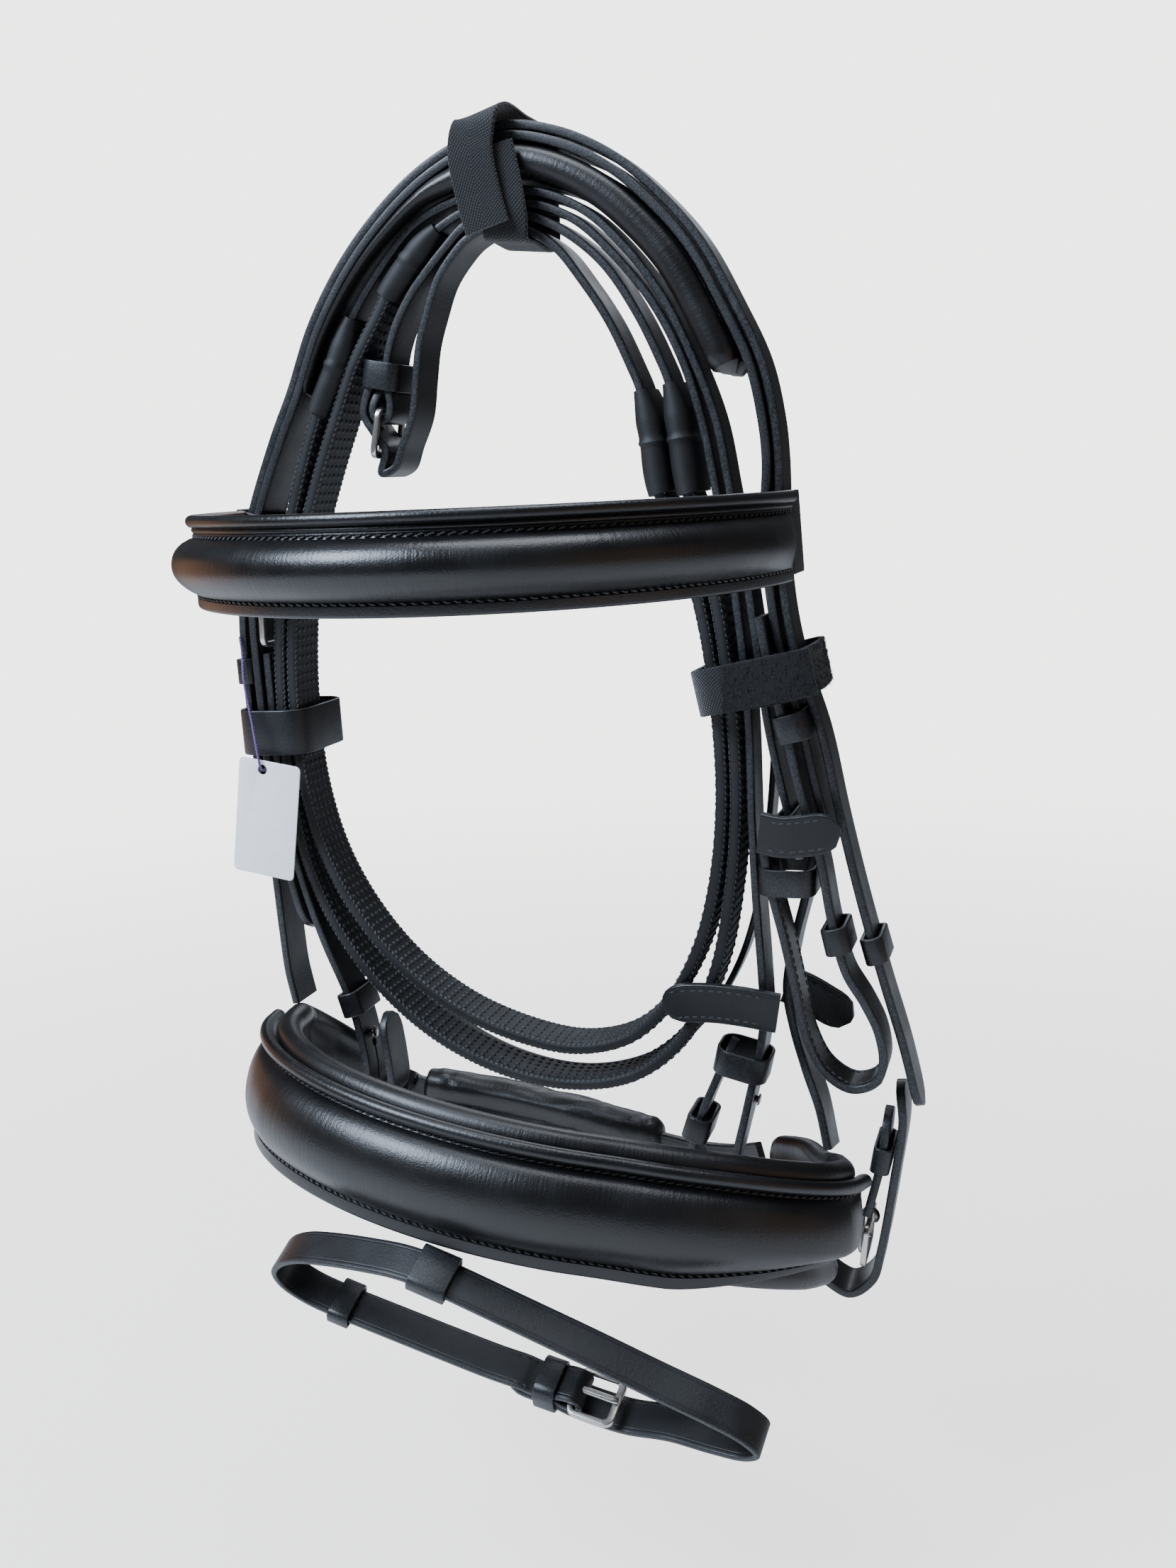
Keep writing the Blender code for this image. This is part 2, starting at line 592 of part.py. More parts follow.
# Half oval seen from above, from the left end round the front to the right end
def oval(half, depth, first, last, steps):
    out = []
    for i in range(steps + 1):
        turn = first + (last - first) * i / steps
        out.append((-half * cos(turn), -depth * sin(turn)))
    return out


def crowned(height, flange, crown, flat_share):
    half = height / 2
    edge = half * flat_share
    return [(-half, 0), (half, 0), (half, flange), (edge, flange), (edge * 0.78, flange + crown * 0.62),
            (edge * 0.42, flange + crown * 0.95), (-edge * 0.42, flange + crown * 0.95),
            (-edge * 0.78, flange + crown * 0.62), (-edge, flange), (-half, flange)]


def rolled(height, thick):
    half = height / 2
    deep = thick / 2
    return [(half, 0), (half * 0.96, deep * 0.7), (half * 0.86, deep), (half * 0.3, deep * 0.9),
            (-half * 0.3, deep * 0.9), (-half * 0.86, deep), (-half * 0.96, deep * 0.7), (-half, 0),
            (-half * 0.96, -deep * 0.7), (-half * 0.86, -deep), (half * 0.86, -deep), (half * 0.96, -deep * 0.7)]


def end_fade(rows, length):
    run = [0.0]
    for a, b in zip(rows[:-1], rows[1:]):
        run.append(run[-1] + (b[0] - a[0]).length)
    return [min(1.0, r / length, (run[-1] - r) / length) for r in run]


# Crown and cheek straps
def crown_run(depth_in):
    return inset(places(crown_line_shares), depth_in)


def moved_back(points, distance):
    return [spot + Vector((0, distance, 0)) for spot in points]


# Middle of the throatlatch, just behind the left cheek buckle
def throat_back():
    return crown_width / 2 + play + wire + throat_clear + throat_width / 2


def build_crown(finish, into):
    side = Vector((0, 1, 0))
    layer = strap_thick + play
    slip = places(slip_left_shares) + crown_run(strap_thick / 2)[1:] + places(slip_right_shares)
    head = places(head_left_shares) + crown_run(strap_thick / 2 + layer)[1:] + places(head_right_shares)
    depths = [2 * layer + crown_pad_thick * share / 2 for share in pad_thick_shares]
    pad = moved_back(crown_run(depths), crown_pad_back)[2:-2]
    rows = frames(pad, side)
    fades = []
    for i, row in enumerate(rows):
        place = i / (len(rows) - 1) * (len(pad) - 1) + 2
        fades.append(float(np.interp(place, range(len(pad_thick_shares)), pad_thick_shares)))
    sections = [[(a, o * f) for a, o in rolled(crown_pad_width, crown_pad_thick)] for f in fades]
    lofted("crown_pad", rows, sections, finish["pad"], into)
    strap("headpiece", frames(head, side), crown_width, strap_thick, finish["leather"], into, tips=(0.4, 0.4))
    strap("sliphead", frames(slip, side), cheek_width, strap_thick, finish["leather"], into, tips=(1.0, 0.4))
    over = crown_run(strap_thick / 2 + layer)
    ends = (list(reversed(over[:9])), list(reversed(over[9:])) + [over[8].lerp(over[9], throat_lap_share)])
    throat = moved_back(ends[0] + places(throat_shares) + ends[1], throat_back())
    strap("throatlatch", frames(throat, side), throat_width, thin_thick, finish["leather"], into)
    strap("cheekpiece_left", frames(places(left_cheek_shares), side), cheek_width, strap_thick,
          finish["leather"], into, tips=(1.0, 0.5))
    strap("cheekpiece_right", frames(places(right_cheek_shares), side), cheek_width, strap_thick,
          finish["leather"], into, tips=(1.0, 0.5))
    strap("noseband_hanger_right", frames(places(hanger_shares), side), cheek_width, strap_thick,
          finish["leather"], into)


# Buckle routes in the buckle's own frame, as (along, off) pairs
def chape_pairs(thick, run):
    turn = wire * 0.76 + seam_gap + thick / 2
    lay = thick / 2 + seam_gap / 2
    pairs = [(-run, 0.0), (-run * 0.8, -lay * 0.6), (-run * 0.5, -lay), (-turn * 2.2, -lay), (-turn * 0.9, -turn * 0.9)]
    pairs += [(turn * sin(a), -turn * cos(a)) for a in map(radians, (10, 50, 90, 130, 170))]
    return pairs + [(-turn * 0.9, turn * 0.9), (-turn * 2.2, lay), (-run * 0.62, lay)]


def billet_pairs(thick, length, run):
    turn = wire * 0.76 + seam_gap + thick / 2
    over = turn + thick + seam_gap * 2
    far = Vector((length - wire * 0.9, -turn))
    lift = atan2(-far.y, far.x)
    slope = lift + np.arcsin(over / far.length)
    top = Vector((over * sin(slope), over * cos(slope)))
    lay = thick * 1.5 + seam_gap * 1.5
    pairs = [(length + wire * 2, -turn * 1.02), (length + wire * 0.3, -turn), tuple(far), tuple(far.lerp(top, 0.3)),
             tuple(far.lerp(top, 0.75)), tuple(top)]
    pairs += [(over * sin(a), over * cos(a)) for a in (slope * 0.4, -slope * 0.35)]
    return pairs + [(-turn * 2.6, lay + thick * 0.2), (-run * 0.62, lay + thick * 0.1), (-run, lay - thick * 0.35)]


# Fixed keeper round both legs of the chape and the billet on top
def stack_keeper(name, place, along, width, thick, finish, into, over=1, length=keeper_length):
    low = thick * 1.0 + seam_gap * 2
    high = thick * 2.1 + seam_gap * 3.5
    turned = place.to_3x3()
    spot = place @ Vector((-along, 0, over * (high - low) / 2))
    row = (spot, turned.col[0].copy(), turned.col[1].copy(), turned.col[2].copy())
    keeper(name, row, width + 2 * play, low + high + 2 * play, finish, into, length, thin_wall)


def from_pairs(place, pairs):
    return [place @ Vector((x, 0, z)) for x, z in pairs]


def buckle_cuts(name, ob, place, length, thick, into):
    turn = wire * 0.76 + seam_gap + thick / 2
    reach_out = turn + thick / 2 + seam_gap
    wide = tongue_width + 2 * play
    cut(ob[0], cutter(name + "_ring_cut", place, (2 * reach_out, wide, 2 * reach_out), into))
    middle = place @ Matrix.Translation((length * 0.38, 0, turn * 0.6))
    cut(ob[1], cutter(name + "_slot_cut", middle, (length * 0.66, wide, turn * 3.0), into))


# Reins: leather over the peg, rubber grips in two hanging loops
def rein_buckle_place():
    return frame_matrix(at(*rein_bar_shares), Vector(rein_bar_run), Vector((0, -1, 0)))


def sleeve(name, rows, leather_first, finish, into):
    count = len(rows) - 1
    sizes = []
    for i in range(count + 1):
        share = i / count if leather_first else 1 - i / count
        over = min(1.0, share / sleeve_ridge_share)
        wide = rein_width + (grip_width - rein_width) * over
        deep = rein_thick + (grip_thick - rein_thick) * over
        sizes.append((wide + 2 * play, deep + 2 * play))
    tube(name, rows, sizes, sleeve_wall, finish, into)


def build_rein(key, bit, grip, hand, hand_end, finish, into):
    side = Vector((0, 1, 0))
    route = places(list(reversed(bit)) + grip + hand) + hand_end
    left = len(bit) - 1
    right = len(bit) + len(grip)
    rows = frames(route, side, marks=(left - 1, left, left + 1, right - 1, right, right + 1))
    ridge_left = nearest_row(rows, route[left])
    ridge_right = nearest_row(rows, route[right])
    start = nearest_row(rows[:ridge_left + 1], route[left - 1])
    stop = ridge_left + nearest_row(rows[ridge_left:ridge_right], route[left + 1])
    again = ridge_left + nearest_row(rows[ridge_left:ridge_right], route[right - 1])
    last = ridge_right + nearest_row(rows[ridge_right:ridge_right + 8], route[right + 1])
    leather = rows[:ridge_left] + [moved_row(rows[ridge_left], -seam_gap)]
    strap(f"rein_{key}_bit", leather, cheek_width, rein_thick, finish["leather"], into, tips=(0.5, 1.0))
    strap(f"rein_{key}_grip", rows[ridge_left:ridge_right + 1], grip_width, grip_thick, finish["rubber"], into)
    sleeve(f"rein_{key}_sleeve_left", rows[start:stop + 1], True, finish["rubber"], into)
    sleeve(f"rein_{key}_sleeve_right", rows[again:last + 1], False, finish["rubber"], into)
    leather = [moved_row(rows[ridge_right], seam_gap)] + rows[ridge_right + 1:]
    return strap(f"rein_{key}_hand", leather, rein_width, rein_thick, finish["leather"], into, tips=(1.0, 0.5))


def build_reins(finish, into, tools):
    place = rein_buckle_place()
    length = rein_buckle_length
    run = length * 1.1
    billet = from_pairs(place, billet_pairs(rein_thick, length, run * 1.1)[1:])
    chape = from_pairs(place, chape_pairs(rein_thick, run))
    near = build_rein("near", near_bit_shares, near_grip_shares, near_hand_shares, billet, finish, into)
    far = build_rein("far", far_bit_shares, far_grip_shares, far_hand_shares, chape, finish, into)
    buckle_cuts("rein_buckle", (far, near), place, length, rein_thick, tools)
    buckle_frame("rein_buckle_frame", place, length, rein_width + 2 * play, finish["steel"], into)
    buckle_tongue("rein_buckle_tongue", place, length, finish["steel"], into)
    stack_keeper("rein_buckle_keeper", place, run * 0.70, rein_width, rein_thick, finish["leather"], into)


# Browband
def brow_points(inset, first, last):
    level = brow_level_share * tier - seat_height - brow_height / 2
    middle = brow_middle_share * reach
    pairs = oval(brow_half - inset, brow_depth - inset, first, last, 18)
    return [Vector((x, middle + y, level)) for x, y in pairs]


def build_browband(finish, into):
    up = Vector((0, 0, 1))
    start = radians(3.06)
    flange = thin_thick
    rows = frames(brow_points(0.0, start, pi - start), up)
    sections = [crowned(brow_height, flange, brow_crown * f ** 0.5, 0.78) for f in end_fade(rows, facet * 2.5)]
    lofted("browband_face", rows, sections, finish["leather"], into)
    start = radians(6.5)
    rows = frames(brow_points(brow_lining / 2 + play, start, pi - start), up)
    strap("browband_lining", rows, brow_height * 0.97, brow_lining, finish["lining"], into)


# Noseband line: oval on the left and in front, squarer and lower at the right end; moved in by its own normal
def nose_line(inset_by):
    line = [Vector((x, y, 0)) for x, y in oval(nose_half, nose_depth, radians(2), radians(112), 11)]
    line += [Vector((x * half_span, y * reach, z * tier)) for x, y, z in nose_right_shares]
    out = []
    for i, spot in enumerate(line):
        run = line[min(i + 1, len(line) - 1)] - line[max(i - 1, 0)]
        out.append(spot + Vector((-run.y, run.x, 0)).normalized() * inset_by)
    return out


# Noseband with its padded lining and arms
def build_noseband(finish, into):
    up = nose_axis((0, 0, 1))
    mid = -nose_height / 2 / tier
    rows = frames([nose_frame() @ (p + Vector((0, 0, mid * tier))) for p in nose_line(0.0)], up)
    sections = []
    for row, f in zip(rows, end_fade(rows, facet * 2)):
        rise = 1 - nose_taper_share * min(1.0, max(0.0, (row[0].x - nose_taper_start) / nose_taper_run))
        sections.append([(a if a > 0 else a * rise, o)
                         for a, o in crowned(nose_height, thin_thick, nose_crown * f ** 0.5, 0.80)])
    lofted("noseband_face", rows, sections, finish["leather"], into)
    rise = nose_lining_rise / tier
    inner = [nose_frame() @ (p + Vector((0, 0, (mid + rise) * tier)))
             for p in nose_line(nose_pad_thick / 2 + nose_fit)]
    left = [nose_place(x, y, mid + rise + z) for x, y, z in reversed(left_arm_shares)]
    right = [nose_place(x, y, mid + rise + z) for x, y, z in right_arm_shares]
    rows = frames(left + inner + right, up)
    sections = []
    for f in end_fade(rows, facet * 3):
        small = 0.55 + 0.45 * min(1.0, f)
        thin = 0.5 + 0.5 * min(1.0, f)
        sections.append([(a * small, o * thin) for a, o in rolled(nose_height * 1.06, nose_pad_thick)])
    lofted("noseband_lining", rows, sections, finish["pad"], into)


def build_chin(finish, into):
    up = Vector((0, 0, 1))
    rows = frames(places(chin_shares), up)
    sections = []
    for i, f in enumerate(end_fade(rows, facet * 0.8)):
        wave = 1.0 + 0.05 * cos(2.6 * i)
        small = (0.72 + 0.28 * min(1.0, f)) * wave
        sections.append([(a * small, o * small) for a, o in rolled(chin_height, chin_thick)])
    lofted("chin_pad", rows, sections, finish["pad"], into)
    for name, table in (("chin_strap_left", left_chin_shares), ("chin_strap_right", right_chin_shares)):
        strap(name, frames(places(table), up), crank_width, strap_thick, finish["leather"], into)
    rows = frames(places(crank_shares), Vector((0, 1, 0)))
    strap("crank_strap", rows, crank_width, strap_thick, finish["leather"], into, tips=(1.0, 0.4))


# Flash strap: a ring hanging back and down from the loop under the noseband.
# Its frame has x along the front run, y back and down across the ring, z up the strap's width.
flash_seat_shares = (-0.052, -1.03, -3.440)
flash_roll = radians(15.1)
flash_hang = radians(62)
flash_bar_shares = (0.56, 0.424)
flash_lean = radians(7)
flash_runner_shares = (-0.345, 0.479)
flash_loop_shares = (0.02, 0.0)
flash_ring_shares = [
    (0.245, 0.463), (0.023, 0.472), (-0.19, 0.477), (-0.38, 0.48), (-0.50, 0.468), (-0.585, 0.425), (-0.615, 0.355),
    (-0.59, 0.28), (-0.515, 0.195), (-0.38, 0.117), (-0.24, 0.056), (-0.115, 0.012), (0.0, 0.0), (0.125, 0.014),
    (0.345, 0.043), (0.59, 0.076), (0.835, 0.115), (1.05, 0.146), (1.16, 0.176), (1.22, 0.23), (1.18, 0.292),
    (1.07, 0.335), (0.92, 0.373)]


def flash_frame():
    turn = Matrix.Rotation(flash_roll, 4, "Y") @ Matrix.Rotation(-flash_hang, 4, "X")
    return Matrix.Translation(at(*flash_seat_shares)) @ turn


def flash_place(x, y):
    return flash_frame() @ Vector((x * half_span, y * reach, 0))


# The loop's top seam, where it is sewn to the noseband's lower rim
def flash_hinge():
    return flash_frame() @ Vector((flash_loop_shares[0] * half_span, 0, flash_width / 2 + play + thin_wall))


def flash_buckle_place():
    turn = flash_frame().to_3x3() @ Matrix.Rotation(-flash_lean, 3, "Z")
    return frame_matrix(flash_place(*flash_bar_shares), turn.col[0].copy(), turn.col[2].copy())


# The billet lies flat behind the buckle and the chape
def flat_billet_pairs(thick, length, run):
    turn = wire * 0.76 + seam_gap + thick / 2
    under = turn + thick + seam_gap * 2
    lay = thick * 1.5 + seam_gap * 2
    return [(length + wire * 3, -under * 0.8), (length, -under), (0, -under), (-turn * 2.4, -lay), (-run * 0.8, -lay),
            (-run * 1.3, -lay * 0.85)]


def build_flash(finish, into, tools):
    place = flash_buckle_place()
    run = flash_buckle_length * 1.35
    chape = from_pairs(place, chape_pairs(thin_thick, run))
    billet = from_pairs(place, flat_billet_pairs(thin_thick, flash_buckle_length, run))
    ring = [flash_place(*p) for p in flash_ring_shares]
    up = flash_frame().to_3x3().col[2].copy()
    rows = frames(list(reversed(chape)) + ring + billet, up)
    ob = strap("flash_strap", rows, flash_width, thin_thick, finish["leather"], into, tips=(1.0, 0.4))
    reach_out = wire * 0.76 + thin_thick + 2 * seam_gap
    slot = (2 * reach_out, tongue_width + 2 * play, 2 * reach_out)
    cut(ob, cutter("flash_buckle_ring_cut", place @ Matrix.Translation((0, 0, thin_thick * 0.4)), slot, tools))
    buckle_frame("flash_buckle_frame", place, flash_buckle_length, flash_width + 2 * play, finish["steel"], into)
    buckle_tongue("flash_buckle_tongue", place, flash_buckle_length, finish["steel"], into)
    stack_keeper("flash_buckle_keeper", place, run * 0.48, flash_width, thin_thick, finish["leather"], into, -1,
                 short_keeper)
    snug("flash_runner", rows, flash_place(*flash_runner_shares), flash_width, thin_thick, finish["leather"], into,
         length=short_keeper, wall=thin_wall, slack=runner_slack)
    snug("flash_loop", rows, flash_place(*flash_loop_shares), flash_width, thin_thick, finish["leather"], into,
         length=flash_loop_length, wall=thin_wall, slack=runner_slack)


# Keepers, studs and billet tabs
def snug(name, rows, spot, width, thick, finish, into, length=keeper_length, wall=keeper_wall, slack=keeper_slack):
    row = route_row(rows, spot)
    return keeper(name, row, width + 2 * play, thick + 2 * play + slack, finish, into, length, wall)


def collar(name, finish, into):
    spot, run = collar_shares[name]
    wide, deep, length, wall = collar_sizes[name]
    run = Vector(run).normalized()
    across = Vector((0, 1, 0))
    keeper(name, (at(*spot), run, across, run.cross(across)), wide, deep, finish, into, length, wall)


def stud(name, row, thick, finish, into, flip=1):
    spot, head, side, face = row
    side = side * flip
    face = face * flip
    bm = bmesh.new()
    place = frame_matrix(spot + face * (thick / 2 + seam_gap + stud_height / 2), head, side)
    bmesh.ops.create_cone(bm, cap_ends=True, segments=12, radius1=stud_radius, radius2=stud_radius * 0.8,
                          depth=stud_height, matrix=place)
    mesh = bpy.data.meshes.new(name)
    bm.to_mesh(mesh)
    bm.free()
    shade(add_object(name, mesh, finish, into))


def build_keepers(finish, into):
    side = Vector((0, 1, 0))
    leather = finish["leather"]
    slip = frames(places(slip_right_shares), side)
    cheek = frames(places(right_cheek_shares), side)
    left = frames(places(left_cheek_shares), side)
    bit = frames(places(near_bit_shares), side)
    for name in collar_sizes:
        collar(name, leather, into)
    firm = keeper_slack * 3
    snug("keeper_turn_right", cheek, at(*turn_keeper_shares), cheek_width, strap_thick, leather, into, slack=firm)
    snug("keeper_sliphead_right", slip, at(*slip_keeper_shares), cheek_width, strap_thick, leather, into)
    snug("keeper_bit_end", bit, at(*bit_end_shares), cheek_width, rein_thick, leather, into, slack=keeper_loose)
    snug("keeper_cheek_left", left, at(*left_keeper_shares), cheek_width, strap_thick, leather, into, slack=firm)
    stud("hook_stud_left", route_row(left, at(*left_stud_shares)), strap_thick, finish["steel"], into, -1)
    stud("hook_stud_right", route_row(bit, at(*right_stud_shares)), rein_thick, finish["steel"], into)
    up = Vector((0, 0, 1))
    strap("billet_tab_far", frames(places(far_tab_shares), up), billet_tab_width, strap_thick, leather, into,
          tips=(1.0, 0.5))
    strap("billet_tab_near", frames(places(near_tab_shares), up), billet_tab_width, strap_thick, leather, into,
          tips=(0.5, 1.0))
    strap("billet_tip_near", frames(places(near_tip_shares), up), billet_tab_width, strap_thick, leather, into,
          tips=(1.0, 0.5))


# Left cheek buckle, lying between the cheekpiece and the headpiece
def build_cheek_buckle(finish, into):
    place = frame_matrix(at(*cheek_bar_shares), Vector(cheek_bar_run), Vector((0, -1, 0)))
    buckle_frame("cheek_buckle_frame", place, cheek_buckle_length, crown_width + 2 * play, finish["steel"], into)


# Crank strap's billet, keeper and buckle
def build_crank(finish, into):
    side = Vector((0, 1, 0))
    rows = frames(places(crank_billet_shares), side)
    strap("crank_billet", rows, crank_width, strap_thick, finish["leather"], into, tips=(0.5, 1.0))
    snug("crank_keeper", rows, at(*crank_keeper_shares), crank_width, strap_thick, finish["leather"], into,
         wall=thin_wall)
    place = frame_matrix(at(*crank_bar_shares), Vector(crank_bar_run), Vector((0, -1, 0)))
    buckle_frame("crank_buckle_frame", place, crank_buckle_length, crank_width + 2 * play, finish["steel"], into)
    buckle_tongue("crank_buckle_tongue", place, crank_buckle_length, finish["steel"], into)


# Woven ties round the bundles and the plain band on the left
def top_tie_across(spot):
    low = min(1.0, max(0.0, (0.10 - spot.z / tier) / 0.08))
    return Vector((1.0, 0.0, 0.27 * (1 - low) - 0.12 * low))


def build_ties(finish, into):
    rows = frames(places(top_tie_shares), top_tie_across)
    strap("tie_top", rows, tie_width, tie_thick, finish["woven"], into)
    rows = frames(places(side_tie_shares), Vector(side_tie_across))
    strap("tie_right", rows, tie_width, tie_thick, finish["woven"], into)


# Blank card tag on its thread, turning about its hole
def tag_frame():
    upright = Matrix.Rotation(pi / 2, 4, "X") @ Matrix.Rotation(tag_tilt, 4, "Z")
    return Matrix.Translation(at(*tag_shares)) @ upright


def build_tag(finish, into):
    ring = [(tag_hole * cos(2 * pi * i / 8), tag_hole * sin(2 * pi * i / 8)) for i in range(8)]
    left, low = (share * tag_height for share in tag_hole_shares)
    loops = [[(x - left, y - low) for x, y in rounded(tag_width, tag_height, tag_hole)], ring]
    plate("hang_tag", loops, tag_thick / 2, tag_frame(), finish["card"], into)
    data = bpy.data.curves.new("tag_thread", "CURVE")
    data.dimensions = "3D"
    data.bevel_depth = thread_radius
    data.bevel_resolution = 1
    data.use_fill_caps = True
    route = [Vector(p) for p in dense_route(places(thread_shares))][::3]
    spline = data.splines.new("POLY")
    spline.points.add(len(route) - 1)
    for point, spot in zip(spline.points, route):
        point.co = (*spot, 1)
    add_object("tag_thread", data, finish["thread"], into)


# Finishes
def finishes():
    return {
        "leather": material("black_leather", (0.011, 0.012, 0.013), 0.42, 0.0),
        "pad": material("padded_leather", (0.013, 0.013, 0.014), 0.36, 0.0),
        "lining": material("lining_leather", (0.030, 0.018, 0.011), 0.55, 0.0),
        "rubber": material("grip_rubber", (0.014, 0.015, 0.016), 0.70, 0.0),
        "woven": material("woven_tape", (0.024, 0.025, 0.028), 0.90, 0.0),
        "steel": material("satin_steel", (0.50, 0.48, 0.45), 0.32, 1.0),
        "card": material("tag_card", (0.80, 0.83, 0.86), 0.60, 0.0),
        "thread": material("violet_thread", (0.10, 0.06, 0.16), 0.75, 0.0)}


# Moving groups hang from an empty on their joint's axis
def pivot(name, place, pieces, into):
    made = bpy.data.objects.new(name, None)
    into.objects.link(made)
    made.location = place
    for piece in pieces:
        ob = bpy.data.objects[piece]
        ob.parent = made
        ob.matrix_parent_inverse = Matrix.Translation(-place)
    return made


def build_pivots(into):
    pivot("noseband_swing_axis", at(*nose_axis_shares), nose_group, into)
    pivot("flash_swing_axis", flash_hinge(), flash_group, into)
    pivot("flash_runner_axis", flash_place(*flash_runner_shares), ["flash_runner"], into)
    pivot("keeper_sliphead_axis", at(*slip_keeper_shares), ["keeper_sliphead_right"], into)


def build():
    clear_scene()
    finish = finishes()
    bridle = collection("horse_bridle")
    tools = collection("cutters")
    build_crown(finish, bridle)
    build_reins(finish, bridle, tools)
    build_browband(finish, bridle)
    build_noseband(finish, bridle)
    build_chin(finish, bridle)
    build_flash(finish, bridle, tools)
    build_keepers(finish, bridle)
    build_cheek_buckle(finish, bridle)
    build_crank(finish, bridle)
    build_ties(finish, bridle)
    build_tag(finish, bridle)
    build_pivots(bridle)


build()
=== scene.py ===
# Looks of a black leather horse bridle hung up by its crown: rolled and padded leather, pimpled rubber
# reins, thread seams, woven ties, satin buckles and a blank card tag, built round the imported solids.
import json
import random
from math import asin, atan2, cos, pi, radians, sin

import bpy
import numpy as np
from mathutils import Matrix, Vector

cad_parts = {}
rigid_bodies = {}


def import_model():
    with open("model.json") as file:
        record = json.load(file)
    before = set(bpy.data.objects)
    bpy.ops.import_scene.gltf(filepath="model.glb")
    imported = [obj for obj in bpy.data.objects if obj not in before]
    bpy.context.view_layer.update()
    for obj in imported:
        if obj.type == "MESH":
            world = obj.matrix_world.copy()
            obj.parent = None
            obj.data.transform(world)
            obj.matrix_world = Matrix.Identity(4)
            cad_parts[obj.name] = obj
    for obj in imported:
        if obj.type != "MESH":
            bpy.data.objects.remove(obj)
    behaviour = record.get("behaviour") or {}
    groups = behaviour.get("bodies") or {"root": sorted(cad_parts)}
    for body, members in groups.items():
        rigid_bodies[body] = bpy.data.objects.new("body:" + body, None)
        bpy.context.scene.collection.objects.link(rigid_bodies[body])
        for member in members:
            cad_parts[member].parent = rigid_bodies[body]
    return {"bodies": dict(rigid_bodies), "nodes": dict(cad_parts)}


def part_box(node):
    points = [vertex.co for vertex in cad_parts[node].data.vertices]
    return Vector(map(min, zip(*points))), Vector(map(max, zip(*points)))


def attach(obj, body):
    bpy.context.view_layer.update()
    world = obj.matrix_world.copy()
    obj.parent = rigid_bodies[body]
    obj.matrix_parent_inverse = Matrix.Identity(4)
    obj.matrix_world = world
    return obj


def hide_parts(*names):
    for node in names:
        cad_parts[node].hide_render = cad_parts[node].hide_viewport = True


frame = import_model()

for ob in list(bpy.data.objects):
    if ob.type in ("LIGHT", "CAMERA") or (ob.type == "MESH" and ob not in frame["nodes"].values()):
        bpy.data.objects.remove(ob, do_unlink=True)
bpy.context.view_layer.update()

# Places are shares of these three sizes; the peg seat lies a little above their zero height.
half_span = 0.100
reach = 0.100
tier = 0.100
seat_height = 0.0031

# Clearances
seam_gap = 0.0004
play = 0.0006
nose_fit = 0.0008

# Leather thicknesses and strap widths
strap_thick = 0.0032
thin_thick = 0.0024
grip_thick = 0.0044
rein_thick = 0.0030
rein_width = 0.0180
grip_width = 0.0190
crown_width = 0.0200
cheek_width = 0.0160
throat_width = 0.0120
throat_clear = 0.0002
flash_width = 0.0130
crank_width = 0.0180
keeper_wall = 0.0018
keeper_length = 0.0100
short_keeper = 0.0080
keeper_slack = 0.0005
keeper_loose = 0.0024
thin_wall = 0.0012
runner_slack = 0.0016
flash_loop_length = 0.0140

# Padded crown piece
crown_pad_width = 0.0420
crown_pad_thick = 0.0115
crown_pad_back = 0.0080
pad_thick_shares = [0.22, 0.22, 0.22, 0.24, 0.30, 0.36, 0.45, 0.78] + [1.0] * 7 + [0.85, 0.6]
throat_lap_share = 0.08

# Browband
brow_half = 0.1050
brow_depth = 0.1220
brow_height = 0.0310
brow_lining = 0.0026
brow_crown = 0.0080
brow_level_share = -0.87
brow_middle_share = -0.065
brow_loop_depth = 0.0215

# Noseband
nose_half = 0.1140
nose_depth = 0.0820
nose_height = 0.0440
nose_crown = 0.0085
nose_pad_thick = 0.0110
nose_lining_rise = 0.0020
nose_place_shares = (0.085, -0.08, -3.07)
nose_roll = radians(9.65)
nose_yaw = radians(4)
nose_pitch = radians(-8)
nose_right_shares = [(0.60, -0.725, 0.0), (0.80, -0.655, -0.005), (0.98, -0.555, -0.02), (1.12, -0.43, -0.04),
                     (1.19, -0.31, -0.06), (1.22, -0.20, -0.075)]
nose_taper_share = 0.68
nose_taper_start = 0.075
nose_taper_run = 0.050

# Chin pad
chin_height = 0.0290
chin_thick = 0.0150

# Buckles
wire = 0.0022
flash_buckle_length = 0.0150
rein_buckle_length = 0.0160
tongue_width = 0.0026
tongue_thick = 0.0018

# Sleeves over the ends of the rubber grips
sleeve_wall = 0.0016
sleeve_ridge_share = 0.5

# Woven ties and plain band
tie_thick = 0.0016
tie_width = 0.0165

# Hang tag and thread
tag_width = 0.0270
tag_height = 0.0470
tag_thick = 0.0006
thread_radius = 0.0005
tag_hole = 0.0020
tag_tilt = radians(-9)

# Loops standing free round a bundle: inner width and inner thickness
brow_loop_thick = 0.0110
cheek_collar_width = 0.0280
cheek_collar_thick = 0.0094
billet_collar_width = 0.0364
billet_collar_thick = 0.0184
bit_collar_width = 0.0180
bit_collar_thick = 0.0186
slip_collar_thick = 0.0050
tab_collar_width = 0.0270
tab_collar_thick = 0.0046
tab_collar_length = 0.0130
band_round = 0.0372
band_thick = 0.0276

# Small fittings
stud_radius = 0.0024
stud_height = 0.0022
cheek_buckle_length = 0.0150
crank_buckle_length = 0.0150
billet_tab_width = 0.0150
band_width = 0.0180

# Stitches and rubber pimples
stitch_pitch = 0.0031
stitch_long = 0.0025
stitch_thick = 0.0008
edge_stitch_pitch = 0.0022
pimple_pitch = 0.0036
pimple_radius = 0.00105
pimple_rise = 0.0006

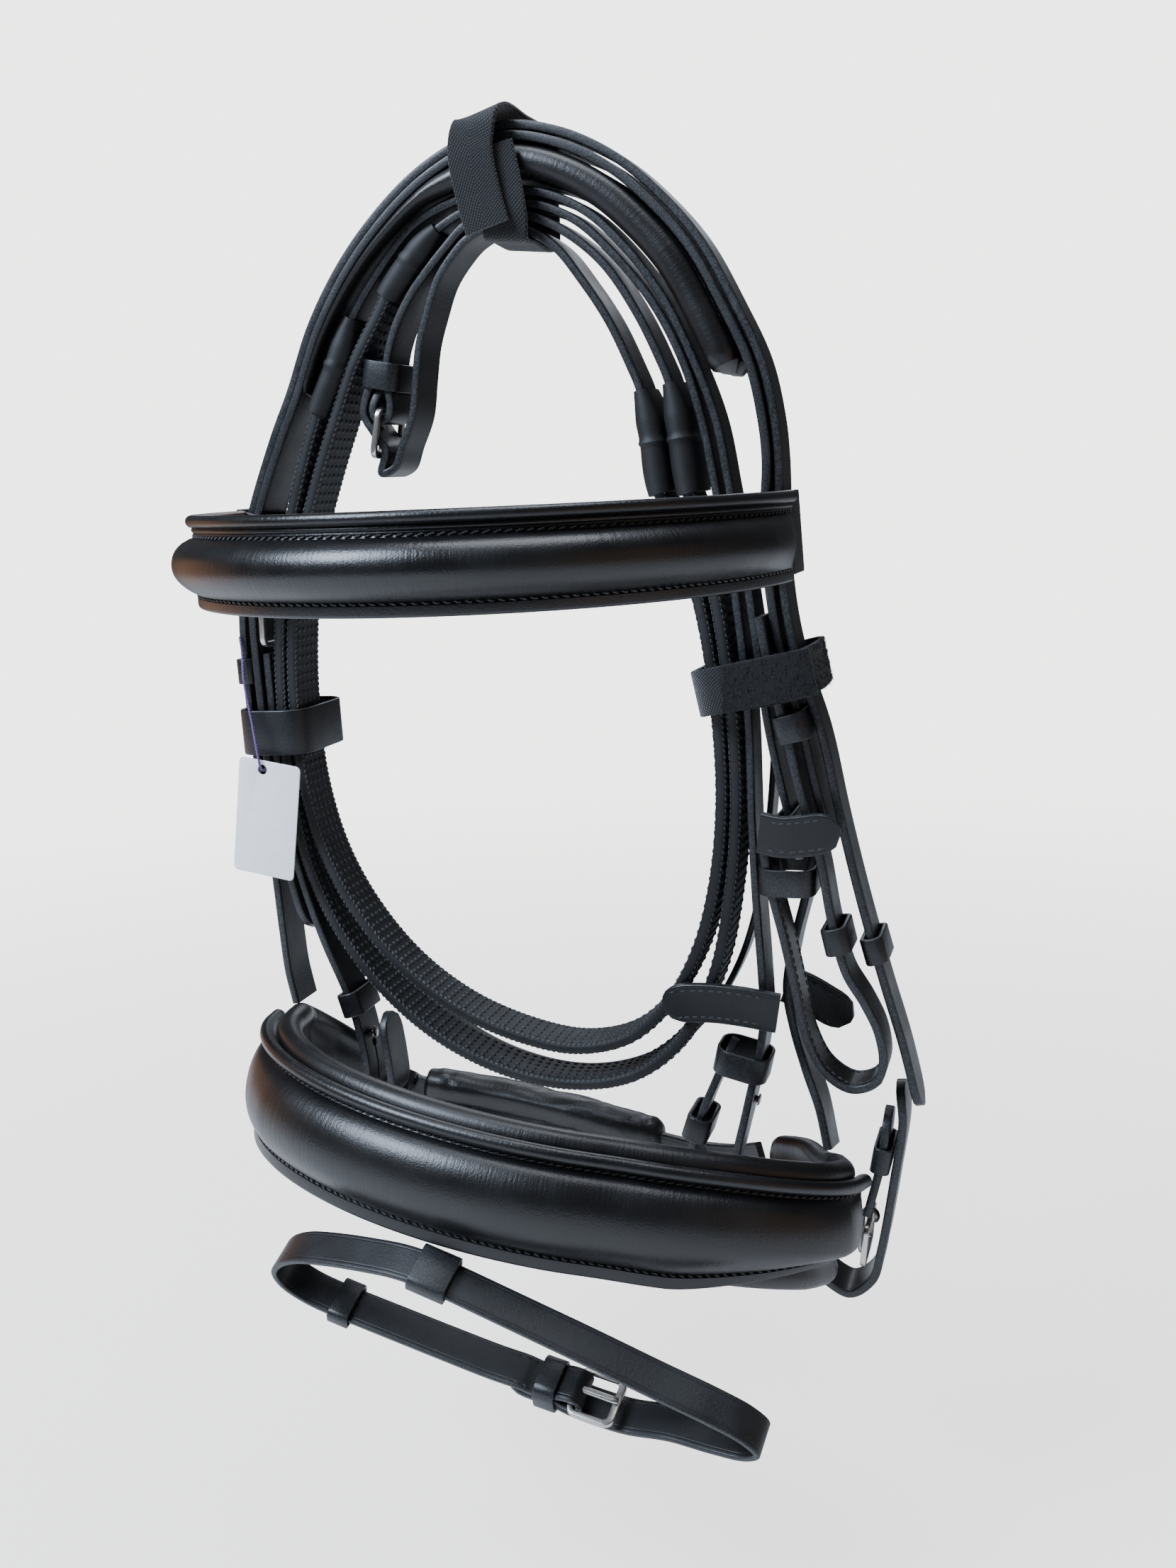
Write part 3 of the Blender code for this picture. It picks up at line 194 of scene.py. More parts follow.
# Rows of stitches: how far they keep from a rim, and from an end
cheek_seam_inset = 0.0022
left_cheek_seam_long = 0.0350
tab_seam_inset = 0.0024
tab_seam_ends = (0.0040, 0.0060)
flash_seam_inset = 0.0016
seam_end = 0.0070
chape_seam_shares = (0.78, 1.28)

# Rolled rims, sunk seam and flat lower rim of the browband and the noseband, and the grooves of their seams
panel_sink = 0.0019
brow_rim = 0.0021
brow_cord = 0.0010
brow_flange = 0.0022
brow_lower = 0.0046
nose_rim = 0.0026
nose_flange = 0.0024
nose_lower = 0.0056
upper_groove = 0.0007
lower_groove = 0.0005
groove_far = 0.0006

# Ring, swell and steps of the rubber sleeves, and the rim and rows of the grips
sleeve_ring_rise = 0.0008
sleeve_ring_share = 0.035
sleeve_swells = (0.0006, 0.0005)
sleeve_step = 0.0012
grip_rim = 0.0016
pimple_rows = 5
pimple_margin = 0.0050
whip_inset = 0.0008
whip_sink = 0.0004

# Cuts between two knots of a route, spacing of the stations along a piece, and the least gap between two
knot_cuts = 24
station_step = 0.0030
band_step = 0.0025
cushion_step = 0.0028
fine_step = 0.0020
least_gap = 0.0008

# How long the padded pieces take to fill out from their ends, how far along that the left ends start, and how
# long the rounded tips are
brow_fill = 0.0340
brow_left_fill = 0.0750
brow_left_start = 0.0020
nose_fill = 0.0200
nose_left_fill = 0.0600
nose_left_start = 0.0040
cushion_fill = 0.0480
chin_fill = 0.0180
cushion_tip = 0.0060
chin_tip = 0.0040

# Chin pad's stuffing: the grain of its skin, and the most that a point of it may move
chin_grain = 0.0016
chin_cap = 0.0011

# Slit over the left stud, small corners, the line and the rims of strap leather, and the pile's loops
slit_offset = 0.0042
slit_long = 0.0160
slit_wide = 0.0011
strap_edge = 0.0007
lining_edge = 0.0010
tie_edge = 0.0005
stud_edge = 0.00015
pressed_line_inset = 0.0017
pressed_line_half = 0.00035
burnished_rim = (0.0002, 0.0006)
loop_rise = (-0.0001, 0.0004)
loop_count = 3200
loop_size = (0.0010, 0.00011, 0.00011)

# Rivet that shows on the inside of the left cheek, and where the side tie's woven end stops
left_rivet_shares = (-0.752, -0.01, -3.03)
woven_end_share = 0.83

# How far the chin straps run into the ends of their pad
chin_sewn_in = 0.0030

# How far the floor lies below the flash strap, and the backdrop's colour and brightness as the camera sees it
floor_drop = 0.0900
backdrop = "#f7f6f4"
backdrop_strength = 4.0

# Photograph's camera
photo_height = 2212
focal_pixels = 2096.23
sensor_long = 36.0
camera_place = (0.2022, -0.5242, -0.0834)
camera_turn = radians(18.69)
camera_down = radians(11.62)
camera_roll = radians(-2.43)

# Routes on the hanging side, as shares: across, depth, height
near_grip_shares = [
    (-0.42, 0, -0.125), (-0.445, 0, -0.165), (-0.577, 0, -0.365), (-0.636, 0, -0.49), (-0.757, 0, -0.765),
    (-0.87, 0, -1.08), (-0.92, 0, -1.38), (-0.935, 0, -1.65), (-0.92, 0, -1.95), (-0.85, 0, -2.24),
    (-0.72, 0, -2.49), (-0.53, 0, -2.71), (-0.29, 0, -2.87), (0, 0, -2.965), (0.2, 0, -2.98),
    (0.4, 0, -2.92), (0.56, 0, -2.77), (0.68, 0, -2.55), (0.75, 0, -2.30), (0.785, 0, -2.0),
    (0.78, 0, -1.70), (0.74, 0, -1.35), (0.675, 0, -1.08), (0.59, 0, -0.867)]
far_grip_shares = [
    (-0.735, 0, -0.52), (-0.825, 0, -0.74), (-0.905, 0, -0.98), (-0.965, 0, -1.28),
    (-0.99, 0, -1.62), (-0.98, 0, -1.98), (-0.925, 0, -2.30), (-0.80, 0, -2.58), (-0.61, 0, -2.82),
    (-0.37, 0, -3.0), (-0.08, 0, -3.11), (0.19, 0, -3.13), (0.42, 0, -3.07), (0.61, 0, -2.91),
    (0.74, 0, -2.65), (0.81, 0, -2.32), (0.84, 0, -2.0), (0.835, 0, -1.7), (0.80, 0, -1.36),
    (0.745, 0, -1.06), (0.695, 0, -0.87)]
near_hand_shares = [
    (0.562, 0, -0.663), (0.53, 0, -0.508), (0.495, 0, -0.42), (0.425, 0, -0.27), (0.335, 0, -0.13),
    (0.235, 0, -0.005), (0.12, 0, 0.062), (0, 0, 0.078), (-0.09, 0, 0.046), (-0.15, 0, -0.005),
    (-0.215, 0, -0.085), (-0.265, 0, -0.20), (-0.30, 0, -0.30), (-0.322, 0, -0.42), (-0.345, 0, -0.55),
    (-0.395, 0, -0.66), (-0.43, 0, -0.735), (-0.485, 0, -0.752)]
far_hand_shares = [
    (0.665, 0, -0.653), (0.635, 0, -0.49), (0.60, 0, -0.40), (0.525, 0, -0.245), (0.415, 0, -0.08),
    (0.29, 0, 0.03), (0.155, 0, 0.101), (0, 0, 0.12), (-0.10, 0, 0.089), (-0.18, 0, 0.022),
    (-0.26, 0, -0.055), (-0.335, 0, -0.14), (-0.40, 0, -0.25)]
near_bit_shares = [
    (-0.302, 0, 0.008), (-0.208, 0, 0.09), (-0.10, 0, 0.14), (0, 0, 0.161), (0.16, 0, 0.143),
    (0.31, 0, 0.078), (0.452, 0, -0.053), (0.58, 0, -0.215), (0.68, 0, -0.41), (0.745, 0, -0.62),
    (0.79, 0, -0.86), (0.84, 0, -1.15), (0.875, 0, -1.45), (0.89, 0, -1.70), (0.895, 0, -2.05),
    (0.905, 0, -2.35), (0.92, 0, -2.62), (0.925, 0, -2.80), (0.905, 0, -2.95), (0.87, 0, -3.10),
    (0.83, 0, -3.27), (0.79, 0, -3.41), (0.735, 0, -3.49), (0.665, 0, -3.48), (0.635, 0, -3.38),
    (0.67, 0, -3.23), (0.735, 0, -3.07), (0.80, 0, -2.92)]
far_bit_shares = [
    (-0.645, 0, -0.35), (-0.57, 0, -0.19), (-0.45, 0, -0.035), (-0.30, 0, 0.112), (-0.14, 0, 0.178),
    (0, 0, 0.20), (0.17, 0, 0.184), (0.34, 0, 0.11), (0.488, 0, -0.027), (0.615, 0, -0.198),
    (0.712, 0, -0.395), (0.795, 0, -0.62), (0.84, 0, -0.86), (0.89, 0, -1.15), (0.93, 0, -1.45),
    (0.955, 0, -1.66), (0.99, 0, -1.85), (1.03, 0, -2.03), (1.06, 0, -2.20)]
# Outer face of the bundle over the peg, from the left to the right
crown_line_shares = [
    (-1.005, 0, -0.70), (-0.95, 0, -0.60), (-0.861, 0, -0.43), (-0.752, 0, -0.197), (-0.61, 0, 0.01),
    (-0.46, 0, 0.166), (-0.30, 0, 0.29), (-0.135, 0, 0.373), (0.06, 0, 0.426), (0.272, 0, 0.385),
    (0.475, 0, 0.28), (0.63, 0, 0.145), (0.765, 0, -0.015), (0.878, 0, -0.22), (0.972, 0, -0.426),
    (1.015, 0, -0.62), (1.028, 0, -0.76)]
head_left_shares = [
    (-0.96, 0, -2.57), (-1.02, 0, -2.30), (-1.065, 0, -1.98), (-1.078, 0, -1.65), (-1.085, 0, -1.36),
    (-1.075, 0, -1.15), (-1.035, 0, -0.93)]
head_right_shares = [
    (0.965, 0, -0.97), (0.975, 0, -1.18), (1.01, 0, -1.42), (1.088, 0, -1.72), (1.14, 0, -1.95),
    (1.18, 0, -2.10)]
slip_left_shares = [
    (-1.045, 0, -2.888), (-1.07, 0, -2.75), (-1.08, 0, -2.6), (-1.10, 0, -2.2), (-1.135, 0, -1.8),
    (-1.145, 0, -1.4), (-1.125, 0, -1.15), (-1.075, 0, -0.93)]
slip_right_shares = [
    (1.015, 0, -0.97), (1.02, 0, -1.18), (1.058, 0, -1.42), (1.152, 0, -1.72), (1.215, 0, -2.02),
    (1.285, 0, -2.32), (1.365, 0, -2.62), (1.44, 0, -2.88), (1.495, 0, -3.12)]
throat_shares = [
    (-1.00, 0, -0.95), (-1.04, 0, -1.25), (-1.04, 0, -1.6), (-1.00, 0, -2.15), (-0.87, 0, -2.58),
    (-0.61, 0, -2.90), (-0.27, 0, -3.12), (0.10, 0, -3.19), (0.40, 0, -3.11), (0.63, 0, -2.92),
    (0.78, 0, -2.68), (0.87, 0, -2.40), (0.92, 0, -2.05), (0.95, 0, -1.65), (0.965, 0, -1.25),
    (0.97, 0, -0.95)]
left_cheek_shares = [
    (-1.04, -0.01, -1.43), (-1.037, -0.01, -1.65), (-1.027, -0.01, -1.98), (-0.98, -0.01, -2.30),
    (-0.89, -0.01, -2.60), (-0.79, -0.01, -2.86), (-0.75, -0.01, -3.04), (-0.7375, -0.01, -3.14),
    (-0.7365, -0.01, -3.215), (-0.721, -0.01, -3.252), (-0.684, -0.01, -3.2675), (-0.647, -0.01, -3.252),
    (-0.6315, -0.01, -3.215), (-0.635, -0.01, -3.12), (-0.645, -0.01, -3.03), (-0.66, -0.01, -2.92)]
right_cheek_shares = [
    (0.95, -0.08, -1.30), (0.988, -0.08, -1.50), (1.043, -0.08, -1.72), (1.095, -0.08, -1.95),
    (1.153, -0.08, -2.15), (1.197, -0.08, -2.40), (1.245, -0.08, -2.58), (1.31, -0.08, -2.69),
    (1.36, -0.08, -2.80), (1.375, -0.08, -2.92), (1.345, -0.08, -2.99), (1.26, -0.08, -3.02),
    (1.165, -0.08, -2.965), (1.10, -0.08, -2.84), (1.06, -0.08, -2.65), (1.02, -0.08, -2.46),
    (0.97, -0.08, -2.25), (0.945, -0.08, -2.07)]
hanger_shares = [
    (1.11, 0.10, -2.15), (1.07, 0.10, -2.35), (1.02, 0.10, -2.55), (0.995, 0.10, -2.72), (1.02, 0.10, -2.88),
    (1.065, 0.08, -3.02), (1.125, 0.03, -3.16), (1.165, -0.01, -3.318)]
crank_shares = [
    (1.03, 0.06, -3.722), (1.06, 0.06, -3.80), (1.125, 0.06, -3.862), (1.23, 0.05, -3.91),
    (1.32, 0.04, -3.835), (1.355, 0.03, -3.70), (1.405, 0.02, -3.40), (1.435, 0.02, -3.17),
    (1.42, 0.02, -3.04)]
left_chin_shares = [
    (-0.873, 0.200, -3.289), (-0.855, 0.33, -3.39), (-0.82, 0.443, -3.472), (-0.763, 0.457, -3.495)]
chin_shares = [(-0.74, 0.46, -3.50), (-0.35, 0.50, -3.55), (0.02, 0.47, -3.59), (0.37, 0.40, -3.62)]
right_chin_shares = [(0.376, 0.398, -3.62), (0.55, 0.37, -3.63), (0.73, 0.31, -3.60), (0.855, 0.2172, -3.535)]
left_arm_shares = ((-1.10, 0.10, -0.02), (-1.04, 0.27, -0.07), (-0.90, 0.38, -0.12))
right_arm_shares = ((1.10, -0.04, -0.085), (1.02, 0.13, -0.07), (0.88, 0.26, -0.09))
crank_billet_shares = [
    (1.379, 0.02, -3.15), (1.369, 0.02, -3.25), (1.352, 0.02, -3.36), (1.303, 0.02, -3.562)]
far_tab_shares = [(0.95, -0.19, -2.06), (1.03, -0.206, -2.07), (1.13, -0.206, -2.06), (1.235, -0.195, -2.04)]
near_tip_shares = [(0.96, 0.205, -2.76), (1.04, 0.205, -2.79), (1.13, 0.205, -2.84), (1.215, 0.205, -2.885)]
near_tab_shares = [(0.56, -0.12, -2.77), (0.62, -0.13, -2.745), (0.74, -0.13, -2.735), (0.85, -0.13, -2.74),
                   (0.99, -0.12, -2.76)]
top_tie_shares = [
    (0.045, -0.158, 0.33), (0.07, -0.158, 0.20), (0.085, -0.158, 0.09), (0.075, -0.13, 0.034),
    (0.06, 0.0, 0.034), (0.05, 0.2, 0.034), (0.045, 0.30, 0.07), (0.04, 0.32, 0.20), (0.03, 0.32, 0.34),
    (0.02, 0.29, 0.43), (0.01, 0.10, 0.452), (0.01, -0.10, 0.452), (0.0, -0.165, 0.42),
    (-0.02, -0.185, 0.33), (0.0, -0.185, 0.18), (0.03, -0.185, 0.06)]
side_tie_shares = [
    (0.80, -0.185, -1.555), (1.0, -0.19, -1.52), (1.10, -0.18, -1.495), (1.13, -0.12, -1.485),
    (1.135, 0.1, -1.485), (1.10, 0.26, -1.495), (1.0, 0.28, -1.52), (0.80, 0.26, -1.555),
    (0.732, 0.18, -1.57), (0.723, 0.0, -1.572), (0.728, -0.16, -1.57), (0.78, -0.213, -1.555),
    (0.95, -0.218, -1.52), (1.15, -0.213, -1.48)]
crank_keeper_shares = (1.354, 0.02, -3.34)
crank_bar_shares = (1.305, 0.02, -3.60)
crank_bar_run = (-0.1, 0, -1)
cheek_bar_shares = (-1.03, 0, -1.39)
cheek_bar_run = (0.03, 0, 1)
rein_bar_shares = (-0.47, 0, -0.525)
rein_bar_run = (-0.20, 0, -0.98)
side_tie_across = (-0.2, 0, 0.98)
# Free loops: middle and run
collar_shares = {
    "keeper_cheek_right": ((1.056, -0.03, -1.69), (0.25, 0, -0.97)),
    "keeper_billet_right": ((1.032, 0.01, -2.25), (0, 0, -1)),
    "keeper_bit_loop": ((0.832, 0, -3.0), (-0.22, 0, -0.97)),
    "keeper_sliphead_left": ((-1.143, 0, -1.50), (0.02, 0, -1)),
    "billet_loop_far": ((1.037, -0.03, -2.07), (0.18, 0, -0.98)),
    "browband_loop_left": ((-1.075, 0, -1.02), (-0.22, 0, -0.975)),
    "browband_loop_right": ((0.993, 0, -1.02), (0.06, 0, -0.998)),
    "band_left": ((-1.035, 0.067, -1.74), (0.02, 0, -1))}
collar_sizes = {
    "keeper_cheek_right": (cheek_collar_width, cheek_collar_thick, keeper_length, thin_wall),
    "keeper_billet_right": (billet_collar_width, billet_collar_thick, keeper_length, thin_wall),
    "keeper_bit_loop": (bit_collar_width, bit_collar_thick, keeper_length, thin_wall),
    "keeper_sliphead_left": (cheek_width + 2 * play, slip_collar_thick, keeper_length, thin_wall),
    "billet_loop_far": (tab_collar_width, tab_collar_thick, tab_collar_length, thin_wall),
    "browband_loop_left": (brow_loop_depth, brow_loop_thick, brow_height * 0.93, keeper_wall),
    "browband_loop_right": (brow_loop_depth, brow_loop_thick - play, brow_height * 0.93, keeper_wall),
    "band_left": (band_round, band_thick, band_width, tie_thick)}
# Keepers close round one strap, and the studs
turn_keeper_shares = (1.20, -0.08, -2.47)
slip_keeper_shares = (1.33, 0, -2.50)
bit_end_shares = (0.66, 0, -3.27)
left_keeper_shares = (-0.79, -0.01, -2.86)
left_stud_shares = (-0.745, -0.01, -3.06)
right_stud_shares = (0.855, 0, -3.16)
tag_shares = (-1.039, -0.19, -1.875)
tag_hole_shares = (-0.065, 0.42)
thread_shares = [
    (-1.15, -0.09, -1.36), (-1.14, -0.10, -1.42), (-1.11, -0.155, -1.52), (-1.07, -0.185, -1.70),
    (-1.045, -0.2035, -1.83), (-1.04, -0.204, -1.858), (-1.039, -0.1978, -1.8728), (-1.039, -0.183, -1.879),
    (-1.039, -0.172, -1.8795)]
flash_seat_shares = (-0.052, -1.03, -3.440)
flash_roll = radians(15.1)
flash_hang = radians(62)
flash_bar_shares = (0.56, 0.424)
flash_lean = radians(7)
flash_runner_shares = (-0.345, 0.479)
flash_loop_shares = (0.02, 0.0)
flash_ring_shares = [
    (0.245, 0.463), (0.023, 0.472), (-0.19, 0.477), (-0.38, 0.48), (-0.50, 0.468), (-0.585, 0.425),
    (-0.615, 0.355), (-0.59, 0.28), (-0.515, 0.195), (-0.38, 0.117), (-0.24, 0.056), (-0.115, 0.012),
    (0.0, 0.0), (0.125, 0.014), (0.345, 0.043), (0.59, 0.076), (0.835, 0.115), (1.05, 0.146), (1.16, 0.176),
    (1.22, 0.23), (1.18, 0.292), (1.07, 0.335), (0.92, 0.373)]


def at(x, y, z):
    return Vector((x * half_span, y * reach, z * tier - seat_height))


def places(table):
    return [at(*row) for row in table]


rearward = Vector((0, 1, 0))
upward = Vector((0, 0, 1))


def blend(first, last, start, end, t):
    return (end - t) / (end - start) * first + (t - start) / (end - start) * last


# Smooth curve through a list of points
def smooth(points, cuts=knot_cuts):
    pts = np.array([tuple(p) for p in points], float)
    pts = np.vstack([2 * pts[0] - pts[1], pts, 2 * pts[-1] - pts[-2]])
    out = []
    for a, b, c, d in zip(pts[:-3], pts[1:-2], pts[2:-1], pts[3:]):
        t0, t1, t2, t3 = np.cumsum([0.0] + [np.linalg.norm(gap) ** 0.5 for gap in (b - a, c - b, d - c)])
        for t in np.linspace(t1, t2, cuts, endpoint=False):
            middle = blend(b, c, t1, t2, t)
            left = blend(blend(a, b, t0, t1, t), middle, t0, t2, t)
            right = blend(middle, blend(c, d, t2, t3, t), t1, t3, t)
            out.append(blend(left, right, t1, t2, t))
    out.append(pts[-2])
    return np.array(out)


def unit(rows):
    return rows / np.linalg.norm(rows, axis=1)[:, None]


# A piece's middle line: at each station its place, its run so far, and its forward, width and face directions
class Line:
    def __init__(self, points, across, step=station_step, turn=radians(6)):
        fine = smooth(points)
        gaps = np.diff(fine, axis=0)
        long = np.linalg.norm(gaps, axis=1)
        heads = gaps / long[:, None]
        bend = np.arccos(np.clip((heads[:-1] * heads[1:]).sum(axis=1), -1, 1))
        pace = long / step + np.concatenate([bend / 2, [0]]) / turn + np.concatenate([[0], bend / 2]) / turn
        pace = np.concatenate([[0], np.cumsum(pace)])
        count = max(3, int(round(pace[-1])))
        want = np.linspace(0, pace[-1], count + 1)
        self.spot = np.stack([np.interp(want, pace, fine[:, k]) for k in range(3)], axis=1)
        total = np.concatenate([[0], np.cumsum(long)])
        self.run = np.interp(want, pace, total)
        self.knots = total[::knot_cuts]
        before = np.vstack([self.spot[0], self.spot[:-1]])
        after = np.vstack([self.spot[1:], self.spot[-1]])
        self.head = unit(after - before)
        wide = np.array([tuple(across(Vector(p)) if callable(across) else across) for p in self.spot])
        self.side = unit(wide - (wide * self.head).sum(axis=1)[:, None] * self.head)
        self.face = np.cross(self.head, self.side)

    def long(self):
        return float(self.run[-1])

    def place(self, run):
        rows = [np.array([np.interp(run, self.run, table[:, k]) for k in range(3)])
                for table in (self.spot, self.head, self.side, self.face)]
        return [Vector(rows[0])] + [Vector(row).normalized() for row in rows[1:]]

    def nearest(self, spot):
        return float(self.run[np.linalg.norm(self.spot - np.array(tuple(spot)), axis=1).argmin()])

    # Part of the line between two runs
    def part(self, first, last, step=None):
        inner = self.run if step is None else np.arange(first + step, last, step)
        inner = inner[(inner > first + least_gap) & (inner < last - least_gap)]
        made = object.__new__(Line)
        made.run = np.concatenate([[first], inner, [last]])
        for name in ("spot", "head", "side", "face"):
            table = getattr(self, name)
            table = np.stack([np.interp(made.run, self.run, table[:, k]) for k in range(3)], axis=1)
            setattr(made, name, table if name == "spot" else unit(table))
        made.run = made.run - first
        return made


# Materials
def linear(code):
    parts = [int(code[i:i + 2], 16) / 255 for i in (1, 3, 5)]
    return (*[c / 12.92 if c <= 0.04045 else ((c + 0.055) / 1.055) ** 2.4 for c in parts], 1.0)


def add(tree, kind, settings=(), values=(), links=(), stops=()):
    made = tree.nodes.new(kind)
    for key, value in dict(settings).items():
        setattr(made, key, value)
    for key, value in dict(values).items():
        made.inputs[key].default_value = value
    for key, source in dict(links).items():
        tree.links.new(source, made.inputs[key])
    for k, (place, code) in enumerate(stops):
        made.color_ramp.elements[k].position = place
        made.color_ramp.elements[k].color = linear(code)
    return made


def surface(name, roughness, **shader):
    made = bpy.data.materials.new(name)
    made.use_nodes = True
    tree = made.node_tree
    main = tree.nodes["Principled BSDF"]
    main.inputs["Roughness"].default_value = roughness
    for key, value in shader.items():
        main.inputs[key.replace("_", " ").title()].default_value = value
    return made, tree


# The end of every finish: its colour, and the relief that a height gives it
def embossed(made, colour, height, strength, depth):
    tree = made.node_tree
    main = tree.nodes["Principled BSDF"]
    bump = add(tree, "ShaderNodeBump", values={"Strength": strength, "Distance": depth},
               links={"Height": height})
    tree.links.new(colour, main.inputs["Base Color"])
    tree.links.new(bump.outputs["Normal"], main.inputs["Normal"])
    return made


# The same, with two shades that follow a pattern
def shaded(made, pattern, stops, height, strength, depth):
    colour = add(made.node_tree, "ShaderNodeValToRGB", links={"Fac": pattern}, stops=stops)
    return embossed(made, colour.outputs["Color"], height, strength, depth)


# What both leathers share: a cloud in the dye, a shine that follows it, and grain cells
def dyed_hide(name, rough, coat, cloud, stops, shine, grain_scale):
    made, tree = surface(name, rough, coat_weight=coat[0], coat_roughness=coat[1])
    spots = add(tree, "ShaderNodeTexCoord").outputs["Object"]
    cloud = add(tree, "ShaderNodeTexNoise", values=cloud, links={"Vector": spots}).outputs["Fac"]
    colour = add(tree, "ShaderNodeValToRGB", links={"Fac": cloud}, stops=stops).outputs["Color"]
    gloss = add(tree, "ShaderNodeMapRange", links={"Value": cloud}, values={
        "From Min": 0.3, "From Max": 0.7, "To Min": rough + shine[0], "To Max": rough + shine[1]})
    tree.links.new(gloss.outputs["Result"], tree.nodes["Principled BSDF"].inputs["Roughness"])
    grain = add(tree, "ShaderNodeTexVoronoi", values={"Scale": grain_scale}, links={"Vector": spots})
    return made, tree, spots, colour, grain.outputs["Distance"]


# Drum-dyed bridle leather: grain cells 0.9 mm wide, a faint cloud in the dye, a pressed line near each edge
# and burnished edges that show a little fibre
def bridle_leather(name, dark, light, rough):
    made, tree, spots, dyed, grain = dyed_hide(
        name, rough, (0.12, 0.25), {"Scale": 60.0, "Detail": 4.0, "Roughness": 0.55},
        [(0.30, dark), (0.72, light)], (-0.06, 0.10), 1150.0)
    fibre = add(tree, "ShaderNodeTexNoise", values={"Scale": 1700.0, "Detail": 3.0, "Roughness": 0.6},
                links={"Vector": spots}).outputs["Fac"]
    skin = add(tree, "ShaderNodeMath", {"operation": "MULTIPLY_ADD"}, {1: 0.5}, {0: grain, 2: fibre})
    flat = add(tree, "ShaderNodeSeparateXYZ", links={"Vector": add(tree, "ShaderNodeUVMap").outputs["UV"]})
    inward = flat.outputs["Y"]
    rim = add(tree, "ShaderNodeMapRange", links={"Value": inward}, values={
        "From Min": burnished_rim[0], "From Max": burnished_rim[1], "To Min": 1.0, "To Max": 0.0})
    off = add(tree, "ShaderNodeMath", {"operation": "SUBTRACT"}, {1: pressed_line_inset}, {0: inward})
    near = add(tree, "ShaderNodeMath", {"operation": "ABSOLUTE"}, links={0: off.outputs["Value"]})
    line = add(tree, "ShaderNodeMapRange", links={"Value": near.outputs["Value"]}, values={
        "From Min": 0.0, "From Max": pressed_line_half, "To Min": -2.2, "To Max": 0.0})
    height = add(tree, "ShaderNodeMath", {"operation": "ADD"},
                 links={0: skin.outputs["Value"], 1: line.outputs["Result"]})
    flecks = add(tree, "ShaderNodeValToRGB", links={"Fac": fibre},
                 stops=[(0.42, "#0b0c0d"), (0.75, "#3c4045")])
    mixed = add(tree, "ShaderNodeMix", {"data_type": "RGBA"},
                links={"Factor": rim.outputs["Result"], 6: dyed, 7: flecks.outputs["Color"]})
    return embossed(made, mixed.outputs[2], height.outputs["Value"], 0.30, 0.00022)


# Soft calf leather over foam: grain 0.7 mm wide, fine creases across the run of the pad and a softer shine
def pad_leather(name, dark, light, rough, mapped=True):
    made, tree, spots, dyed, grain = dyed_hide(
        name, rough, (0.20, 0.32), {"Scale": 42.0, "Detail": 5.0, "Roughness": 0.6},
        [(0.28, dark), (0.75, light)], (-0.05, 0.09), 1500.0)
    along = add(tree, "ShaderNodeUVMap").outputs["UV"] if mapped else spots
    drawn = add(tree, "ShaderNodeMapping", values={"Scale": (700.0, 70.0, 70.0)}, links={"Vector": along})
    crease = add(tree, "ShaderNodeTexNoise", values={"Scale": 1.0, "Detail": 2.0},
                 links={"Vector": drawn.outputs["Vector"]})
    height = add(tree, "ShaderNodeMath", {"operation": "MULTIPLY_ADD"}, {1: 0.35},
                 {0: grain, 2: crease.outputs["Fac"]})
    return embossed(made, dyed, height.outputs["Value"], 0.50, 0.00025)


# Moulded natural rubber: flat dull black with a dusty bloom and an open texture 0.4 mm wide
def grip_rubber(name, dark, light):
    made, tree = surface(name, 0.62)
    spots = add(tree, "ShaderNodeTexCoord").outputs["Object"]
    bloom = add(tree, "ShaderNodeTexNoise", values={"Scale": 110.0, "Detail": 6.0, "Roughness": 0.65},
                links={"Vector": spots})
    fine = add(tree, "ShaderNodeTexNoise", values={"Scale": 2400.0, "Detail": 2.0},
               links={"Vector": spots}).outputs["Fac"]
    return shaded(made, bloom.outputs["Fac"], [(0.35, dark), (0.72, light)], fine, 0.25, 0.0002)


# Woven polyester tape: threads crossing on the slant, 0.9 mm apart, that meet in a chevron at the middle
def woven_tape():
    made, tree = surface("woven_polyester", 0.88, sheen_weight=0.35, sheen_roughness=0.4)
    along = add(tree, "ShaderNodeUVMap").outputs["UV"]
    knit = add(tree, "ShaderNodeMath", {"operation": "MULTIPLY"})
    for k, turn in enumerate((radians(33), radians(-57))):
        drawn = add(tree, "ShaderNodeMapping", values={"Rotation": (0.0, 0.0, turn)}, links={"Vector": along})
        thread = add(tree, "ShaderNodeTexWave", {"wave_type": "BANDS", "bands_direction": "X"},
                     {"Scale": 340.0, "Distortion": 0.4, "Detail": 1.0}, {"Vector": drawn.outputs["Vector"]})
        tree.links.new(thread.outputs["Fac"], knit.inputs[k])
    knit = knit.outputs["Value"]
    return shaded(made, knit, [(0.05, "#060708"), (0.55, "#212429")], knit, 0.7, 0.0005)


# Brushed loop pile: no shine, a soft light fringe and a curled nap 1 mm wide
def loop_pile():
    made, tree = surface("loop_pile", 0.95, sheen_weight=0.12, sheen_roughness=0.5)
    spots = add(tree, "ShaderNodeTexCoord").outputs["Object"]
    nap = add(tree, "ShaderNodeTexNoise", values={"Scale": 900.0, "Detail": 5.0, "Roughness": 0.7,
                                                  "Distortion": 1.5}, links={"Vector": spots}).outputs["Fac"]
    return shaded(made, nap, [(0.35, "#020203"), (0.70, "#0c0d0f")], nap, 0.9, 0.0006)


